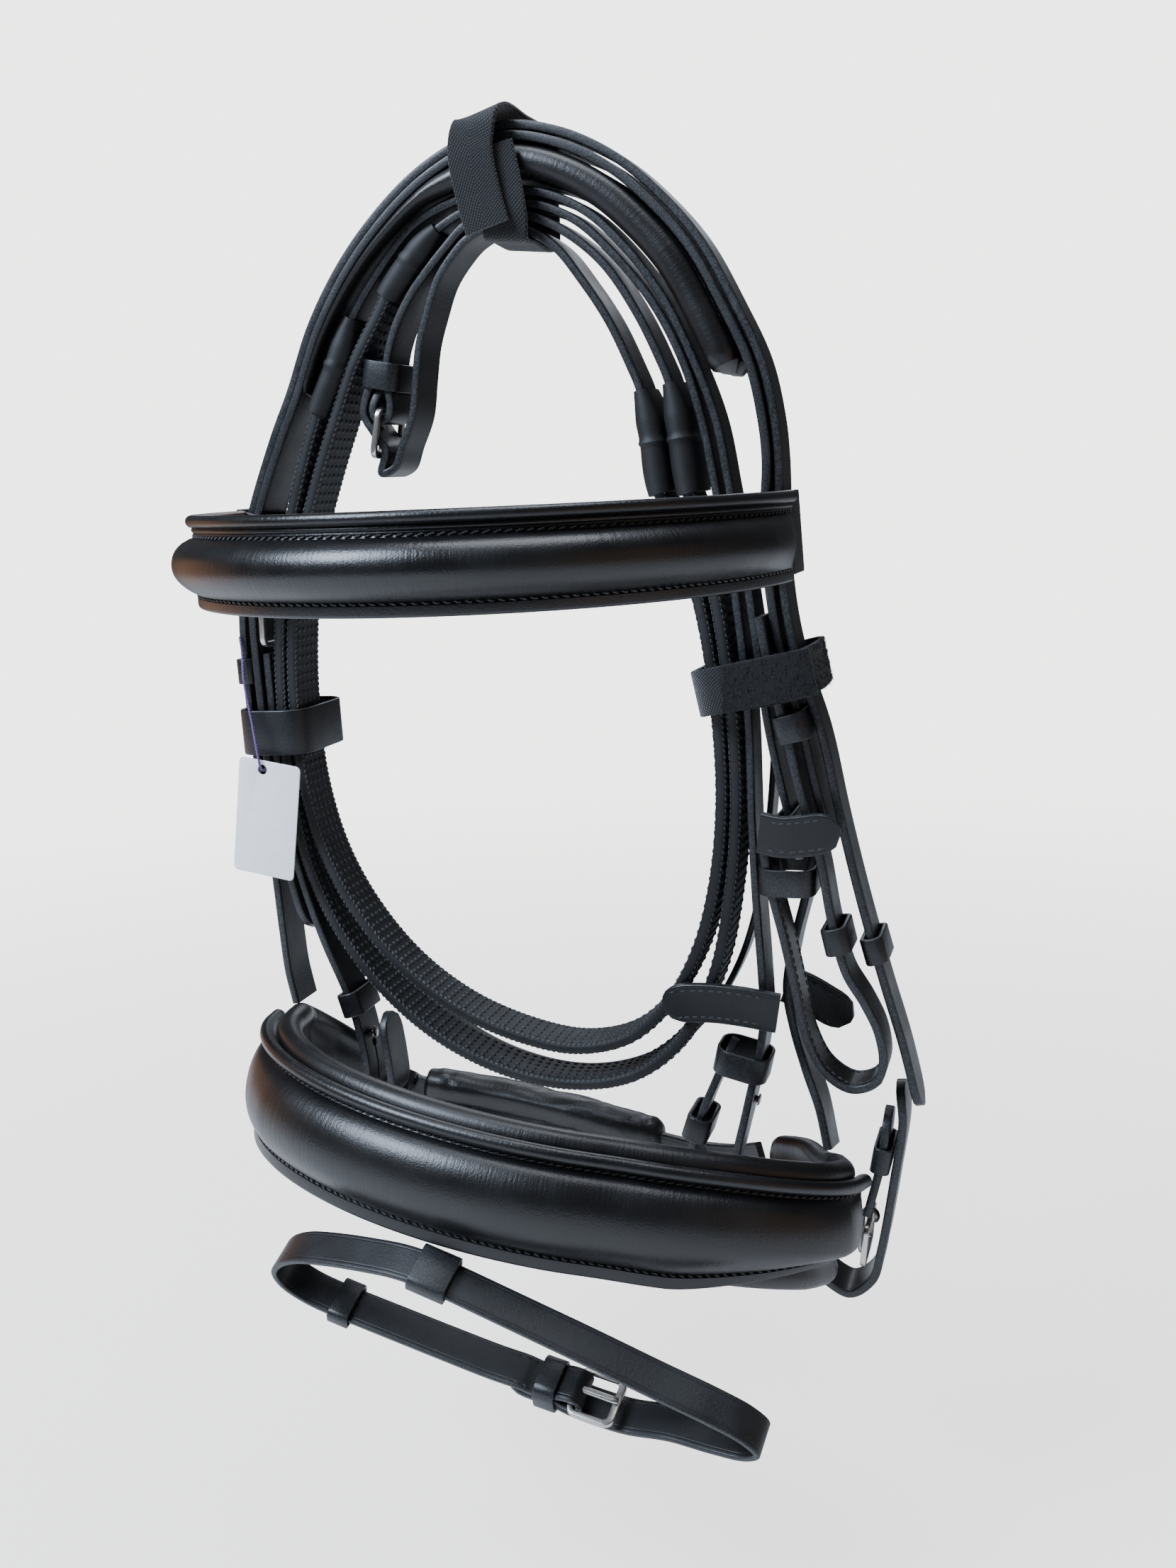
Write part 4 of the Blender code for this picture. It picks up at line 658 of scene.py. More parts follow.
# Satin stainless steel, brushed upright: soft highlights in streaks 0.4 mm wide
def satin_steel():
    made, tree = surface("satin_stainless", 0.30, metallic=1.0)
    spots = add(tree, "ShaderNodeTexCoord").outputs["Object"]
    drawn = add(tree, "ShaderNodeMapping", values={"Scale": (2600.0, 2600.0, 260.0)}, links={"Vector": spots})
    brush = add(tree, "ShaderNodeTexNoise", values={"Scale": 1.0, "Detail": 3.0},
                links={"Vector": drawn.outputs["Vector"]}).outputs["Fac"]
    rough = add(tree, "ShaderNodeMapRange", values={"To Min": 0.22, "To Max": 0.38}, links={"Value": brush})
    tree.links.new(rough.outputs["Result"], tree.nodes["Principled BSDF"].inputs["Roughness"])
    return shaded(made, brush, [(0.3, "#bdb9b2"), (0.7, "#d6d3cd")], brush, 0.06, 0.0001)


# Twisted thread: turns on the slant, drawn 0.75 mm wide so that they show, with a painted highlight where
# they stand up and painted shade between them
def twisted_thread(name, dark, light, rough=0.7):
    made, tree = surface(name, rough, sheen_weight=0.2)
    spots = add(tree, "ShaderNodeTexCoord").outputs["Object"]
    drawn = add(tree, "ShaderNodeMapping", values={"Rotation": (radians(35), radians(40), radians(20))},
                links={"Vector": spots})
    ply = add(tree, "ShaderNodeTexWave", {"wave_type": "BANDS", "bands_direction": "X"},
              {"Scale": 420.0, "Distortion": 1.0, "Detail": 1.0}, {"Vector": drawn.outputs["Vector"]})
    ply = ply.outputs["Fac"]
    # Pale stop: painted highlight on the raised turns; dark stop: painted shade in the hollows between them
    return shaded(made, ply, [(0.2, dark), (0.8, light)], ply, 0.5, 0.0003)


# Coated card: nearly white, a breath of blue, with faint fibre clouding
def coated_card():
    made, tree = surface("coated_card", 0.48)
    spots = add(tree, "ShaderNodeTexCoord").outputs["Object"]
    cloud = add(tree, "ShaderNodeTexNoise", values={"Scale": 180.0, "Detail": 5.0},
                links={"Vector": spots}).outputs["Fac"]
    return shaded(made, cloud, [(0.3, "#f8fafd"), (0.7, "#ffffff")], cloud, 0.05, 0.0002)


# Painted studio floor: pale and matt near the bridle, fading into the light backdrop further off
def pale_floor():
    made, tree = surface("pale_floor", 0.85)
    spots = add(tree, "ShaderNodeTexCoord").outputs["Object"]
    main = tree.nodes["Principled BSDF"]
    cloud = add(tree, "ShaderNodeTexNoise", values={"Scale": 3.0, "Detail": 3.0}, links={"Vector": spots})
    colour = add(tree, "ShaderNodeValToRGB", links={"Fac": cloud.outputs["Fac"]},
                 stops=[(0.3, "#efeeec"), (0.7, "#f4f3f1")])
    tree.links.new(colour.outputs["Color"], main.inputs["Base Color"])
    away = add(tree, "ShaderNodeVectorMath", {"operation": "LENGTH"}, links={0: spots})
    far = add(tree, "ShaderNodeMapRange", {"interpolation_type": "SMOOTHSTEP"},
              {"From Min": 0.3, "From Max": 1.7, "To Min": 0.45}, {"Value": away.outputs["Value"]})
    glow = add(tree, "ShaderNodeEmission", values={"Color": linear(backdrop), "Strength": backdrop_strength})
    seen = add(tree, "ShaderNodeLightPath")
    share = add(tree, "ShaderNodeMath", {"operation": "MULTIPLY"},
                links={0: far.outputs["Result"], 1: seen.outputs["Is Camera Ray"]})
    mixed = add(tree, "ShaderNodeMixShader", links={
        0: share.outputs["Value"], 1: main.outputs["BSDF"], 2: glow.outputs["Emission"]})
    tree.links.new(mixed.outputs["Shader"], tree.nodes["Material Output"].inputs["Surface"])
    return made


leather = bridle_leather("black_bridle_leather", "#060607", "#0e0f11", 0.42)
strap_back = bridle_leather("blue_black_strap_leather", "#0a0b0d", "#15181b", 0.48)
panel_leather = pad_leather("black_panel_leather", "#060607", "#0d0e10", 0.34)
soft_leather = pad_leather("black_pad_leather", "#060607", "#0e0e10", 0.40)
stuffed_leather = pad_leather("stuffed_pad_leather", "#060607", "#0e0e10", 0.40, mapped=False)
lining_leather = pad_leather("brown_lining_leather", "#3a241a", "#55382a", 0.55)
rubber = grip_rubber("moulded_rubber", "#090a0b", "#171a1d")
# Paler copy of the grip rubber for the pimples: a painted highlight, so that they read as a light grid
pimple_painted_light_rubber = grip_rubber("rubbed_pimple_rubber", "#181a1d", "#33373c")
woven = woven_tape()
pile = loop_pile()
steel = satin_steel()
# Both threads carry the painted highlight and shade of the twist; the seam thread's pale stop is raised so
# its stitches show painted highlights
seam_thread = twisted_thread("black_linen_thread", "#0c0d0f", "#34383d", 0.5)
tag_cord = twisted_thread("violet_cotton_thread", "#4a3566", "#75599a")
card = coated_card()


# Working on one object at a time, as by hand
def nothing_selected():
    if bpy.context.mode != "OBJECT":
        bpy.ops.object.mode_set(mode="OBJECT")
    bpy.ops.object.select_all(action="DESELECT")


def pick(ob):
    nothing_selected()
    ob.select_set(True)
    bpy.context.view_layer.objects.active = ob


def added(name, finish):
    ob = bpy.context.active_object
    ob.name = name
    ob.data.name = name
    ob.data.materials.clear()
    ob.data.materials.append(finish)
    return ob


def applied(ob, kind, **settings):
    pick(ob)
    made = ob.modifiers.new(kind.title(), kind)
    for key, value in settings.items():
        setattr(made, key, value)
    bpy.ops.object.modifier_apply(modifier=made.name)


def opened(ob, action="SELECT"):
    pick(ob)
    bpy.ops.object.mode_set(mode="EDIT")
    bpy.ops.mesh.select_all(action=action)


# Edit mode with the faces or edges that the test picks
def chosen(ob, kind, parts, test):
    opened(ob, "DESELECT")
    bpy.ops.object.mode_set(mode="OBJECT")
    for part in parts:
        part.select = test(part)
    bpy.ops.object.mode_set(mode="EDIT")
    bpy.ops.mesh.select_mode(type=kind)


def softened(ob, angle):
    pick(ob)
    bpy.ops.object.shade_smooth_by_angle(angle=angle)
    return ob


def closed(ob, angle=radians(38)):
    opened(ob)
    bpy.ops.mesh.remove_doubles(threshold=1e-6)
    bpy.ops.mesh.select_all(action="DESELECT")
    bpy.ops.mesh.select_mode(type="EDGE")
    bpy.ops.mesh.select_non_manifold()
    bpy.ops.mesh.fill_holes(sides=0)
    bpy.ops.mesh.select_all(action="SELECT")
    bpy.ops.mesh.normals_make_consistent(inside=False)
    return softened(ob, angle)


def placed(name, data):
    ob = bpy.data.objects.new(name, data)
    bpy.context.scene.collection.objects.link(ob)
    return ob


# A curve through each run of points, flat or round
def drawn(name, runs, cyclic, **settings):
    data = bpy.data.curves.new(name, "CURVE")
    for key, value in settings.items():
        setattr(data, key, value)
    for run in runs:
        spline = data.splines.new("POLY")
        spline.points.add(len(run) - 1)
        for point, spot in zip(spline.points, run):
            point.co = (*spot, 1)
        spline.use_cyclic_u = cyclic
    return placed(name, data)


def round_wire(name, points, radius):
    return drawn(name, [points], False, dimensions="3D", bevel_depth=radius, bevel_resolution=4,
                 use_fill_caps=True)


def meshed(ob, finish):
    pick(ob)
    bpy.ops.object.convert(target="MESH")
    return added(ob.name, finish)


bodies = {empty: name for name, empty in frame["bodies"].items()}


def body_named(node):
    return bodies[frame["nodes"][node].parent]


# A dressed piece stands for its solids and moves with their body
def dressed(ob, *nodes):
    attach(ob, body_named(nodes[0]))
    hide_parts(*nodes)
    return ob


# Trim moves with the piece that it is sewn to
def trim(ob, node):
    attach(ob, body_named(node))
    return ob


# One section carried along a line, from a grid wrapped round into a closed skin. The piece's own map
# holds the run along it and the way in from its nearest edge, both in metres.
def laid(name, line, sections, finish):
    steps = len(line.run) - 1
    table = np.array(sections if len(np.shape(sections)) == 3 else [sections] * (steps + 1), float)
    count = table.shape[1]
    nothing_selected()
    bpy.ops.mesh.primitive_grid_add(x_subdivisions=steps, y_subdivisions=count, size=1.0)
    ob = added(name, finish)
    mesh = ob.data
    flat = np.empty(len(mesh.vertices) * 3)
    mesh.vertices.foreach_get("co", flat)
    flat = flat.reshape(-1, 3)
    i = np.rint((flat[:, 0] + 0.5) * steps).astype(int)
    j = np.rint((flat[:, 1] + 0.5) * count).astype(int) % count
    across = table[i, j, 0]
    spots = line.spot[i] + line.side[i] * across[:, None] + line.face[i] * table[i, j, 1][:, None]
    mesh.vertices.foreach_set("co", spots.ravel())
    inward = np.minimum(table[:, :, 0].max(axis=1)[i] - across, across - table[:, :, 0].min(axis=1)[i])
    corner = np.empty(len(mesh.loops), int)
    mesh.loops.foreach_get("vertex_index", corner)
    mapped = np.stack([line.run[i], inward], axis=1)[corner]
    mesh.uv_layers[0].data.foreach_set("uv", mapped.ravel())
    mesh.update()
    return closed(ob)


def arc(across, out, radius, first, last, count):
    turns = np.linspace(radians(first), radians(last), count)
    return [(across + radius * cos(t), out + radius * sin(t)) for t in turns]


# Strap section: rounded corners and a broad face with room for the pressed line
def strap_section(width, thick, edge=strap_edge):
    half = width / 2 - edge
    deep = thick / 2 - edge
    top = arc(half, deep, edge, 0, 90, 4)
    top += [(share * half, thick / 2) for share in (0.88, 0.5, 0.0, -0.5, -0.88)]
    top += arc(-half, deep, edge, 90, 180, 4)
    return top + [(-a, -o) for a, o in top]


# Ends of a strap: the last stations draw in to a rounded tip
def tipped(line, section, tips, width):
    table = np.array([section] * len(line.run), float)
    reach = width * 0.62
    for end, tip in enumerate(tips):
        if tip < 1.0:
            away = line.run if end == 0 else line.run[-1] - line.run
            share = np.clip(away / reach, 0, 1)
            table[:, :, 0] *= (tip * 0.35 + (1 - tip * 0.35) * np.sqrt(1 - (1 - share) ** 2))[:, None]
    return table


def strap(name, node, line, width, thick, finish=leather, tips=(1.0, 1.0)):
    return dressed(laid(name, line, tipped(line, strap_section(width, thick), tips, width), finish), node)


# Copies of one small shape, set down at each place and joined
def copies(name, pattern, spots, finish):
    base = np.array([tuple(v.co) for v in pattern.data.vertices])
    faces = [tuple(p.vertices) for p in pattern.data.polygons]
    verts = []
    polys = []
    for k, place in enumerate(spots):
        turn = np.array(place.to_3x3())
        verts.append(base @ turn.T + np.array(place.translation))
        polys += [tuple(v + k * len(base) for v in face) for face in faces]
    mesh = bpy.data.meshes.new(name)
    mesh.from_pydata(np.vstack(verts), [], polys)
    mesh.materials.append(finish)
    mesh.polygons.foreach_set("use_smooth", [True] * len(polys))
    return placed(name, mesh)


# One stitch, pimple or pile loop, modelled once and then copied
def pattern_bead(name, size, segments=6, rings=4):
    nothing_selected()
    bpy.ops.mesh.primitive_uv_sphere_add(segments=segments, ring_count=rings, radius=1.0)
    ob = added(name, seam_thread)
    opened(ob)
    bpy.ops.transform.rotate(value=pi / 2, orient_axis="Y", center_override=(0, 0, 0))
    bpy.ops.transform.resize(value=size, center_override=(0, 0, 0))
    bpy.ops.object.mode_set(mode="OBJECT")
    return ob


def frame_matrix(origin, x_axis, y_axis):
    z_axis = x_axis.cross(y_axis).normalized()
    y_axis = z_axis.cross(x_axis).normalized()
    made = Matrix((x_axis.normalized(), y_axis, z_axis)).transposed().to_4x4()
    made.translation = origin
    return made


# Places of a row of stitches along a line: how far across, how far out, and how slanted each lies
def row_places(line, across, out, pitch=stitch_pitch, slant=0.0, first=0.0, last=None, flip=1):
    last = line.long() if last is None else last
    count = max(1, int((last - first) / pitch))
    made = []
    for k in range(count):
        run = first + (k + 0.5) * (last - first) / count
        spot, head, side, face = line.place(run)
        wide = across(run) if callable(across) else across
        rise = out(run) if callable(out) else out
        place = frame_matrix(spot + side * wide + face * rise, head, side * flip)
        made.append(place @ Matrix.Rotation(slant, 4, "Z"))
    return made


def sewn(name, node, places_list):
    return trim(copies(name, stitch, places_list, seam_thread), node)


stitch = pattern_bead("stitch_pattern", (stitch_long / 2, stitch_thick / 2, stitch_thick / 2))
edge_stitch = pattern_bead(
    "edge_stitch_pattern", (edge_stitch_pitch * 0.62, stitch_thick * 0.55, stitch_thick / 2))
pimple = pattern_bead("pimple_pattern", (pimple_radius, pimple_radius, pimple_rise), 7, 5)
fibre = pattern_bead("fibre_pattern", loop_size, 4, 3)


# Points moved in towards the peg, by one distance or by one for each
def inset(points, distance):
    out = []
    for i, spot in enumerate(points):
        run = (points[min(i + 1, len(points) - 1)] - points[max(i - 1, 0)]).normalized()
        depth = distance[i] if isinstance(distance, list) else distance
        out.append(spot + Vector((run.z, 0, -run.x)) * depth)
    return out


def crown_run(depth_in):
    return inset(places(crown_line_shares), depth_in)


def moved_back(points, distance):
    return [spot + Vector((0, distance, 0)) for spot in points]


# Pad section: a round roll at each rim and a fuller middle between two drawn-in channels, in shares of the
# pad's half thickness
def pad_section(half, deep, *shares):
    roll, neck, fill = (deep * share for share in shares)
    edge = half - roll
    top = arc(edge, 0, roll, 0, 125, 7)
    inner = edge - roll * 1.25
    top += [(inner, neck), (inner * 0.72, neck + (fill - neck) * 0.62), (inner * 0.40, fill)]
    top.append((0.0, fill * 1.03))
    top += [(-a, o) for a, o in reversed(top[:-1])]
    return top + [(-a, -o) for a, o in top[1:-1]]


def faded(line, reach):
    return np.minimum(1.0, np.minimum(line.run, line.run[-1] - line.run) / reach)


# Rounded closing of a pad's ends
def pillow(line, sections, reach, least=0.12):
    table = np.array(sections, float)
    share = faded(line, reach)
    grow = least + (1 - least) * np.sqrt(1 - (1 - share) ** 2)
    table[:, :, 0] *= (0.35 + 0.65 * grow)[:, None]
    table[:, :, 1] *= grow[:, None]
    return table


# Rows along both rims of a piece
def rim_rows(line, across, out, **ends):
    return [p for s in (1, -1) for p in row_places(line, s * across, out, **ends)]


# Crown: straps laid over the peg in layers, the padded crown piece under the two outer ones
def make_crown():
    layer = strap_thick + play
    slip = places(slip_left_shares) + crown_run(strap_thick / 2)[1:] + places(slip_right_shares)
    head = places(head_left_shares) + crown_run(strap_thick / 2 + layer)[1:] + places(head_right_shares)
    strap("sliphead_strap", "sliphead", Line(slip, rearward), cheek_width, strap_thick, tips=(1.0, 0.5))
    strap("headpiece_strap", "headpiece", Line(head, rearward), crown_width, strap_thick, tips=(0.5, 0.5))
    depths = [2 * layer + crown_pad_thick * share / 2 for share in pad_thick_shares]
    line = Line(moved_back(crown_run(depths), crown_pad_back)[2:-2], rearward)
    spread = np.interp(np.linspace(2, len(pad_thick_shares) - 3, len(line.run)), range(len(pad_thick_shares)),
                       pad_thick_shares)
    half = crown_pad_width / 2
    deep = crown_pad_thick / 2
    base = np.array(pad_section(half, deep, 0.95, 0.62, 0.92))
    table = [[(a, o * f) for a, o in base] for f in spread]
    pad = dressed(laid("crown_cushion", line, pillow(line, table, cushion_tip), soft_leather), "crown_pad")
    sewn("crown_seam", "crown_pad", [p for s in (1, -1) for p in row_places(
        line, s * (half - deep * 2.15), lambda run: deep * 0.62 * float(np.interp(run, line.run, spread)),
        first=seam_end, last=line.long() - seam_end, flip=s)])


def make_throat():
    over = crown_run(strap_thick * 1.5 + play)
    back = crown_width / 2 + play + wire + throat_clear + throat_width / 2
    ends = (list(reversed(over[:9])), list(reversed(over[9:])) + [over[8].lerp(over[9], throat_lap_share)])
    line = Line(moved_back(ends[0] + places(throat_shares) + ends[1], back), rearward)
    strap("throat_strap", "throatlatch", line, throat_width, thin_thick)


# A narrow slit with a round hole at one end, where the strap hooks over its stud
def slit(ob, place):
    nothing_selected()
    bpy.ops.mesh.primitive_cylinder_add(vertices=20, radius=slit_wide * 1.6, depth=strap_thick * 3)
    hole = added("slit_hole", leather)
    nothing_selected()
    bpy.ops.mesh.primitive_cube_add(size=1.0)
    cut = added("slit_run", leather)
    size = Matrix.Diagonal((slit_long, slit_wide, strap_thick * 3, 1))
    cut.data.transform(Matrix.Translation((slit_long / 2, 0, 0)) @ size)
    for tool in (hole, cut):
        tool.data.transform(place)
        applied(ob, "BOOLEAN", object=tool, operation="DIFFERENCE", solver="EXACT")
        bpy.data.objects.remove(tool, do_unlink=True)


def make_cheeks():
    left = Line(places(left_cheek_shares), rearward)
    right = Line(places(right_cheek_shares), rearward)
    ob = strap("left_cheek_strap", "cheekpiece_left", left, cheek_width, strap_thick, tips=(1.0, 0.5))
    slit(ob, frame_matrix(*left.place(left.nearest(at(*left_rivet_shares)) + slit_offset)[:3]))
    strap("right_cheek_strap", "cheekpiece_right", right, cheek_width, strap_thick, tips=(1.0, 0.5))
    strap("right_hanger_strap", "noseband_hanger_right", Line(places(hanger_shares), rearward), cheek_width,
          strap_thick)
    for hand, line, first, last in (("left", left, 0.0, left_cheek_seam_long),
                                    ("right", right, right.long() * 0.60, right.long() - seam_end)):
        across = cheek_width / 2 - cheek_seam_inset
        rows = [row_places(line, s * across, o * strap_thick / 2, first=first, last=last)
                for s in (1, -1) for o in (1, -1)]
        sewn(hand + "_cheek_seam", "cheekpiece_" + hand, sum(rows, []))


# Rubber sleeve: thin at its leather end, with a raised ring half way and a slight swell on both sides of it
def rein_sleeve(name, node, line, leather_first):
    sections = []
    line = line.part(0.0, line.long(), sleeve_step)
    long = line.long()
    for run in line.run:
        share = run / long if leather_first else 1 - run / long
        over = min(1.0, share / sleeve_ridge_share)
        ridge = sleeve_ring_rise * max(0.0, 1 - abs(share - sleeve_ridge_share) / sleeve_ring_share)
        wall = sleeve_wall * (0.30 + 0.70 * min(1.0, share / 0.30))
        swell = sleeve_swells[0] * sin(pi * min(1.0, share / 0.5))
        swell += sleeve_swells[1] * (share > 0.5) * sin(pi * (share - 0.5) * 2)
        wide = rein_width + (grip_width - rein_width) * over + 2 * play + 2 * wall
        deep = rein_thick + (grip_thick - rein_thick) * over + 2 * play + 2 * wall
        half = wide / 2 + ridge
        high = deep / 2 + swell + ridge
        corner = high * 0.98
        top = arc(half - corner, 0, corner, 0, 90, 7) + [(0.0, high)]
        top += arc(corner - half, 0, corner, 90, 180, 7)
        sections.append(top + [(-a, -o) for a, o in top[1:-1]])
    return dressed(laid(name, line, sections, rubber), node)


# Rubber grip: a flat core with rounded sides, rows of pimples on both faces and a whipped seam along
# each rim
def grip(key, line):
    node = f"rein_{key}_grip"
    dressed(laid(f"{key}_grip_rubber", line, strap_section(grip_width, grip_thick, grip_rim), rubber), node)
    rows = []
    seams = []
    for face in (1, -1):
        for k in range(pimple_rows):
            across = (k - (pimple_rows - 1) / 2) * (grip_width - pimple_margin) / (pimple_rows - 1)
            rows += row_places(line, across, face * (grip_thick / 2 - pimple_rise * 0.15), pitch=pimple_pitch,
                               flip=face)
        for s in (1, -1):
            seams += row_places(line, s * (grip_width / 2 - whip_inset), face * (grip_thick / 2 - whip_sink),
                                pitch=edge_stitch_pitch, slant=radians(28) * s * face, flip=face)
    # Pimples in the paler rubber copy, a painted highlight
    trim(copies(f"{key}_grip_pimples", pimple, rows, pimple_painted_light_rubber), node)
    trim(copies(f"{key}_grip_seams", edge_stitch, seams, seam_thread), node)


# A rein: leather bit end, sleeve, rubber grip, sleeve and leather hand part on one line
def make_rein(key, bit, grip_table, hand, hand_end):
    line = Line(places(list(reversed(bit)) + grip_table + hand) + hand_end, rearward)
    left = len(bit) - 1
    right = len(bit) + len(grip_table)
    mark = line.knots
    strap(f"{key}_bit_strap", f"rein_{key}_bit", line.part(0, mark[left]), cheek_width, rein_thick,
          tips=(0.5, 1.0))
    grip(key, line.part(mark[left], mark[right]))
    for hand_side, k in (("left", left), ("right", right)):
        rein_sleeve(f"{key}_{hand_side}_sleeve", f"rein_{key}_sleeve_{hand_side}",
                    line.part(mark[k - 1], mark[k + 1]), k == left)
    strap(f"{key}_hand_strap", f"rein_{key}_hand", line.part(mark[right], line.long()), rein_width,
          rein_thick, tips=(1.0, 0.5))


# Buckle routes in the buckle's own frame, as in the solids
def chape_pairs(thick, run):
    turn = wire * 0.76 + seam_gap + thick / 2
    lay = thick / 2 + seam_gap / 2
    pairs = [(-run, 0.0), (-run * 0.8, -lay * 0.6), (-run * 0.5, -lay), (-turn * 2.2, -lay)]
    pairs.append((-turn * 0.9, -turn * 0.9))
    pairs += [(turn * sin(a), -turn * cos(a)) for a in map(radians, (10, 50, 90, 130, 170))]
    return pairs + [(-turn * 0.9, turn * 0.9), (-turn * 2.2, lay), (-run * 0.62, lay)]


def billet_pairs(thick, length, run):
    turn = wire * 0.76 + seam_gap + thick / 2
    over = turn + thick + seam_gap * 2
    far = Vector((length - wire * 0.9, -turn))
    lift = atan2(-far.y, far.x)
    slope = lift + asin(over / far.length)
    top = Vector((over * sin(slope), over * cos(slope)))
    lay = thick * 1.5 + seam_gap * 1.5
    pairs = [(length + wire * 0.3, -turn), tuple(far), tuple(far.lerp(top, 0.3)), tuple(far.lerp(top, 0.75)),
             tuple(top)]
    pairs += [(over * sin(a), over * cos(a)) for a in (slope * 0.4, -slope * 0.35)]
    return pairs + [(-turn * 2.6, lay + thick * 0.2), (-run * 0.62, lay + thick * 0.1),
                    (-run, lay - thick * 0.35)]


def flat_billet_pairs(thick, length, run):
    turn = wire * 0.76 + seam_gap + thick / 2
    under = turn + thick + seam_gap * 2
    lay = thick * 1.5 + seam_gap * 2
    return [(length + wire * 3, -under * 0.8), (length, -under), (0, -under), (-turn * 2.4, -lay),
            (-run * 0.8, -lay), (-run * 1.3, -lay * 0.85)]


def from_pairs(place, pairs):
    return [place @ Vector((x, 0, z)) for x, z in pairs]


def make_reins():
    place = frame_matrix(at(*rein_bar_shares), Vector(rein_bar_run), -rearward)
    run = rein_buckle_length * 1.1
    billet = from_pairs(place, billet_pairs(rein_thick, rein_buckle_length, run * 1.1)[1:])
    chape = from_pairs(place, chape_pairs(rein_thick, run))
    make_rein("near", near_bit_shares, near_grip_shares, near_hand_shares, billet)
    make_rein("far", far_bit_shares, far_grip_shares, far_hand_shares, chape)
    buckle("rein_buckle", place, rein_buckle_length, rein_width + 2 * play)
    pin("rein_tongue_pin", "rein_buckle_tongue", place, rein_buckle_length)
    stack_keeper("rein_keeper", "rein_buckle_keeper", place, run * 0.70, rein_width, rein_thick)


# Flat outline with a window, thickened, its rims rounded over
def plate(name, loops, half_depth, rim, place, finish):
    flat = [[(x, y, 0) for x, y in loop] for loop in loops]
    ob = drawn(name, flat, True, dimensions="2D", fill_mode="BOTH", extrude=half_depth - rim, bevel_depth=rim,
               bevel_resolution=3, offset=-rim)
    ob = meshed(ob, finish)
    ob.data.transform(place)
    opened(ob)
    bpy.ops.mesh.remove_doubles(threshold=2e-6)
    bpy.ops.mesh.normals_make_consistent(inside=False)
    return softened(ob, radians(40))


def rounded(wide, tall, radius, steps=7):
    out = []
    for cx, cy, start in ((1, 1, 0), (-1, 1, 90), (-1, -1, 180), (1, -1, 270)):
        for i in range(steps + 1):
            turn = radians(start + 90 * i / steps)
            out.append((cx * (wide / 2 - radius) + radius * cos(turn),
                        cy * (tall / 2 - radius) + radius * sin(turn)))
    return out


# Buckle frame: flat satin faces, broader at the far side, with soft corners
def buckle(node_stem, place, length, width):
    broad = wire * 0.28
    outer = [(x + (length + broad) / 2, y)
             for x, y in rounded(length + wire + broad, width + 2 * wire, wire * 1.7)]
    inner = [(x + length / 2, y) for x, y in rounded(length - wire, width, wire * 0.7)]
    ob = plate(node_stem + "_steel", [outer, inner], wire / 2, wire * 0.24, place, steel)
    return dressed(ob, node_stem + "_frame")


# Tongue: round wire curled about the bar, lying over the window to the far side
def pin(name, node, place, length):
    ring = wire * 0.75 + play + tongue_thick * 0.3
    level = wire / 2 + play + tongue_thick / 2
    route = [(ring * cos(t), ring * sin(t)) for t in np.linspace(radians(-40), radians(-290), 18)]
    route += [(x * length, level * (1 - 0.10 * x * x)) for x in (0.35, 0.5, 0.7, 0.88, 1.0)]
    route.append((length + wire * 0.45, level * 0.86))
    ob = round_wire(name, [(x, 0, z) for x, z in route], tongue_thick / 2)
    for end in (0, -1):
        ob.data.splines[0].points[end].radius = 0.72
    ob = meshed(ob, steel)
    ob.data.transform(place @ Matrix.Diagonal((1, tongue_width / tongue_thick, 1, 1)))
    return dressed(closed(ob), node)


# Keeper: a leather loop round one strap or more, open at both ends, its rims rounded
def keeper(name, node, place, wide, deep, length=keeper_length, wall=keeper_wall, finish=leather):
    nothing_selected()
    bpy.ops.mesh.primitive_cube_add(size=1.0)
    ob = added(name, finish)
    opened(ob)
    bpy.ops.transform.resize(value=(length, wide, deep), center_override=(0, 0, 0))
    bpy.ops.object.mode_set(mode="OBJECT")
    chosen(ob, "FACE", ob.data.polygons, lambda end: abs(end.normal.x) > 0.9)
    bpy.ops.mesh.delete(type="ONLY_FACE")
    bpy.ops.object.mode_set(mode="OBJECT")
    run = [vertex.co.x for vertex in ob.data.vertices]
    chosen(ob, "EDGE", ob.data.edges, lambda edge: run[edge.vertices[0]] != run[edge.vertices[1]])
    bpy.ops.mesh.bevel(offset=min(deep, wide) * 0.28, segments=5)
    bpy.ops.object.mode_set(mode="OBJECT")
    applied(ob, "SOLIDIFY", thickness=wall, offset=1.0, use_even_offset=True)
    applied(ob, "BEVEL", width=wall * 0.3, segments=3, limit_method="ANGLE", angle_limit=radians(60))
    mapped = []
    for loop in ob.data.loops:
        co = ob.data.vertices[loop.vertex_index].co
        mapped += [co.y + co.z, length / 2 - abs(co.x)]
    ob.data.uv_layers[0].data.foreach_set("uv", mapped)
    ob.data.transform(place)
    return dressed(softened(ob, radians(35)), node)


def snug(name, node, line, spot, width, thick, length=keeper_length, wall=keeper_wall, slack=keeper_slack):
    place = frame_matrix(*line.place(line.nearest(spot))[:3])
    return keeper(name, node, place, width + 2 * play, thick + 2 * play + slack, length, wall)


def collar(name, node, finish):
    spot, run = collar_shares[node]
    wide, deep, length, wall = collar_sizes[node]
    place = frame_matrix(at(*spot), Vector(run), rearward)
    return keeper(name, node, place, wide, deep, length, wall, finish)


def stack_keeper(name, node, place, along, width, thick, over=1, length=keeper_length):
    low = thick * 1.0 + seam_gap * 2
    high = thick * 2.1 + seam_gap * 3.5
    place = place @ Matrix.Translation((-along, 0, over * (high - low) / 2))
    return keeper(name, node, place, width + 2 * play, low + high + 2 * play, length, thin_wall)


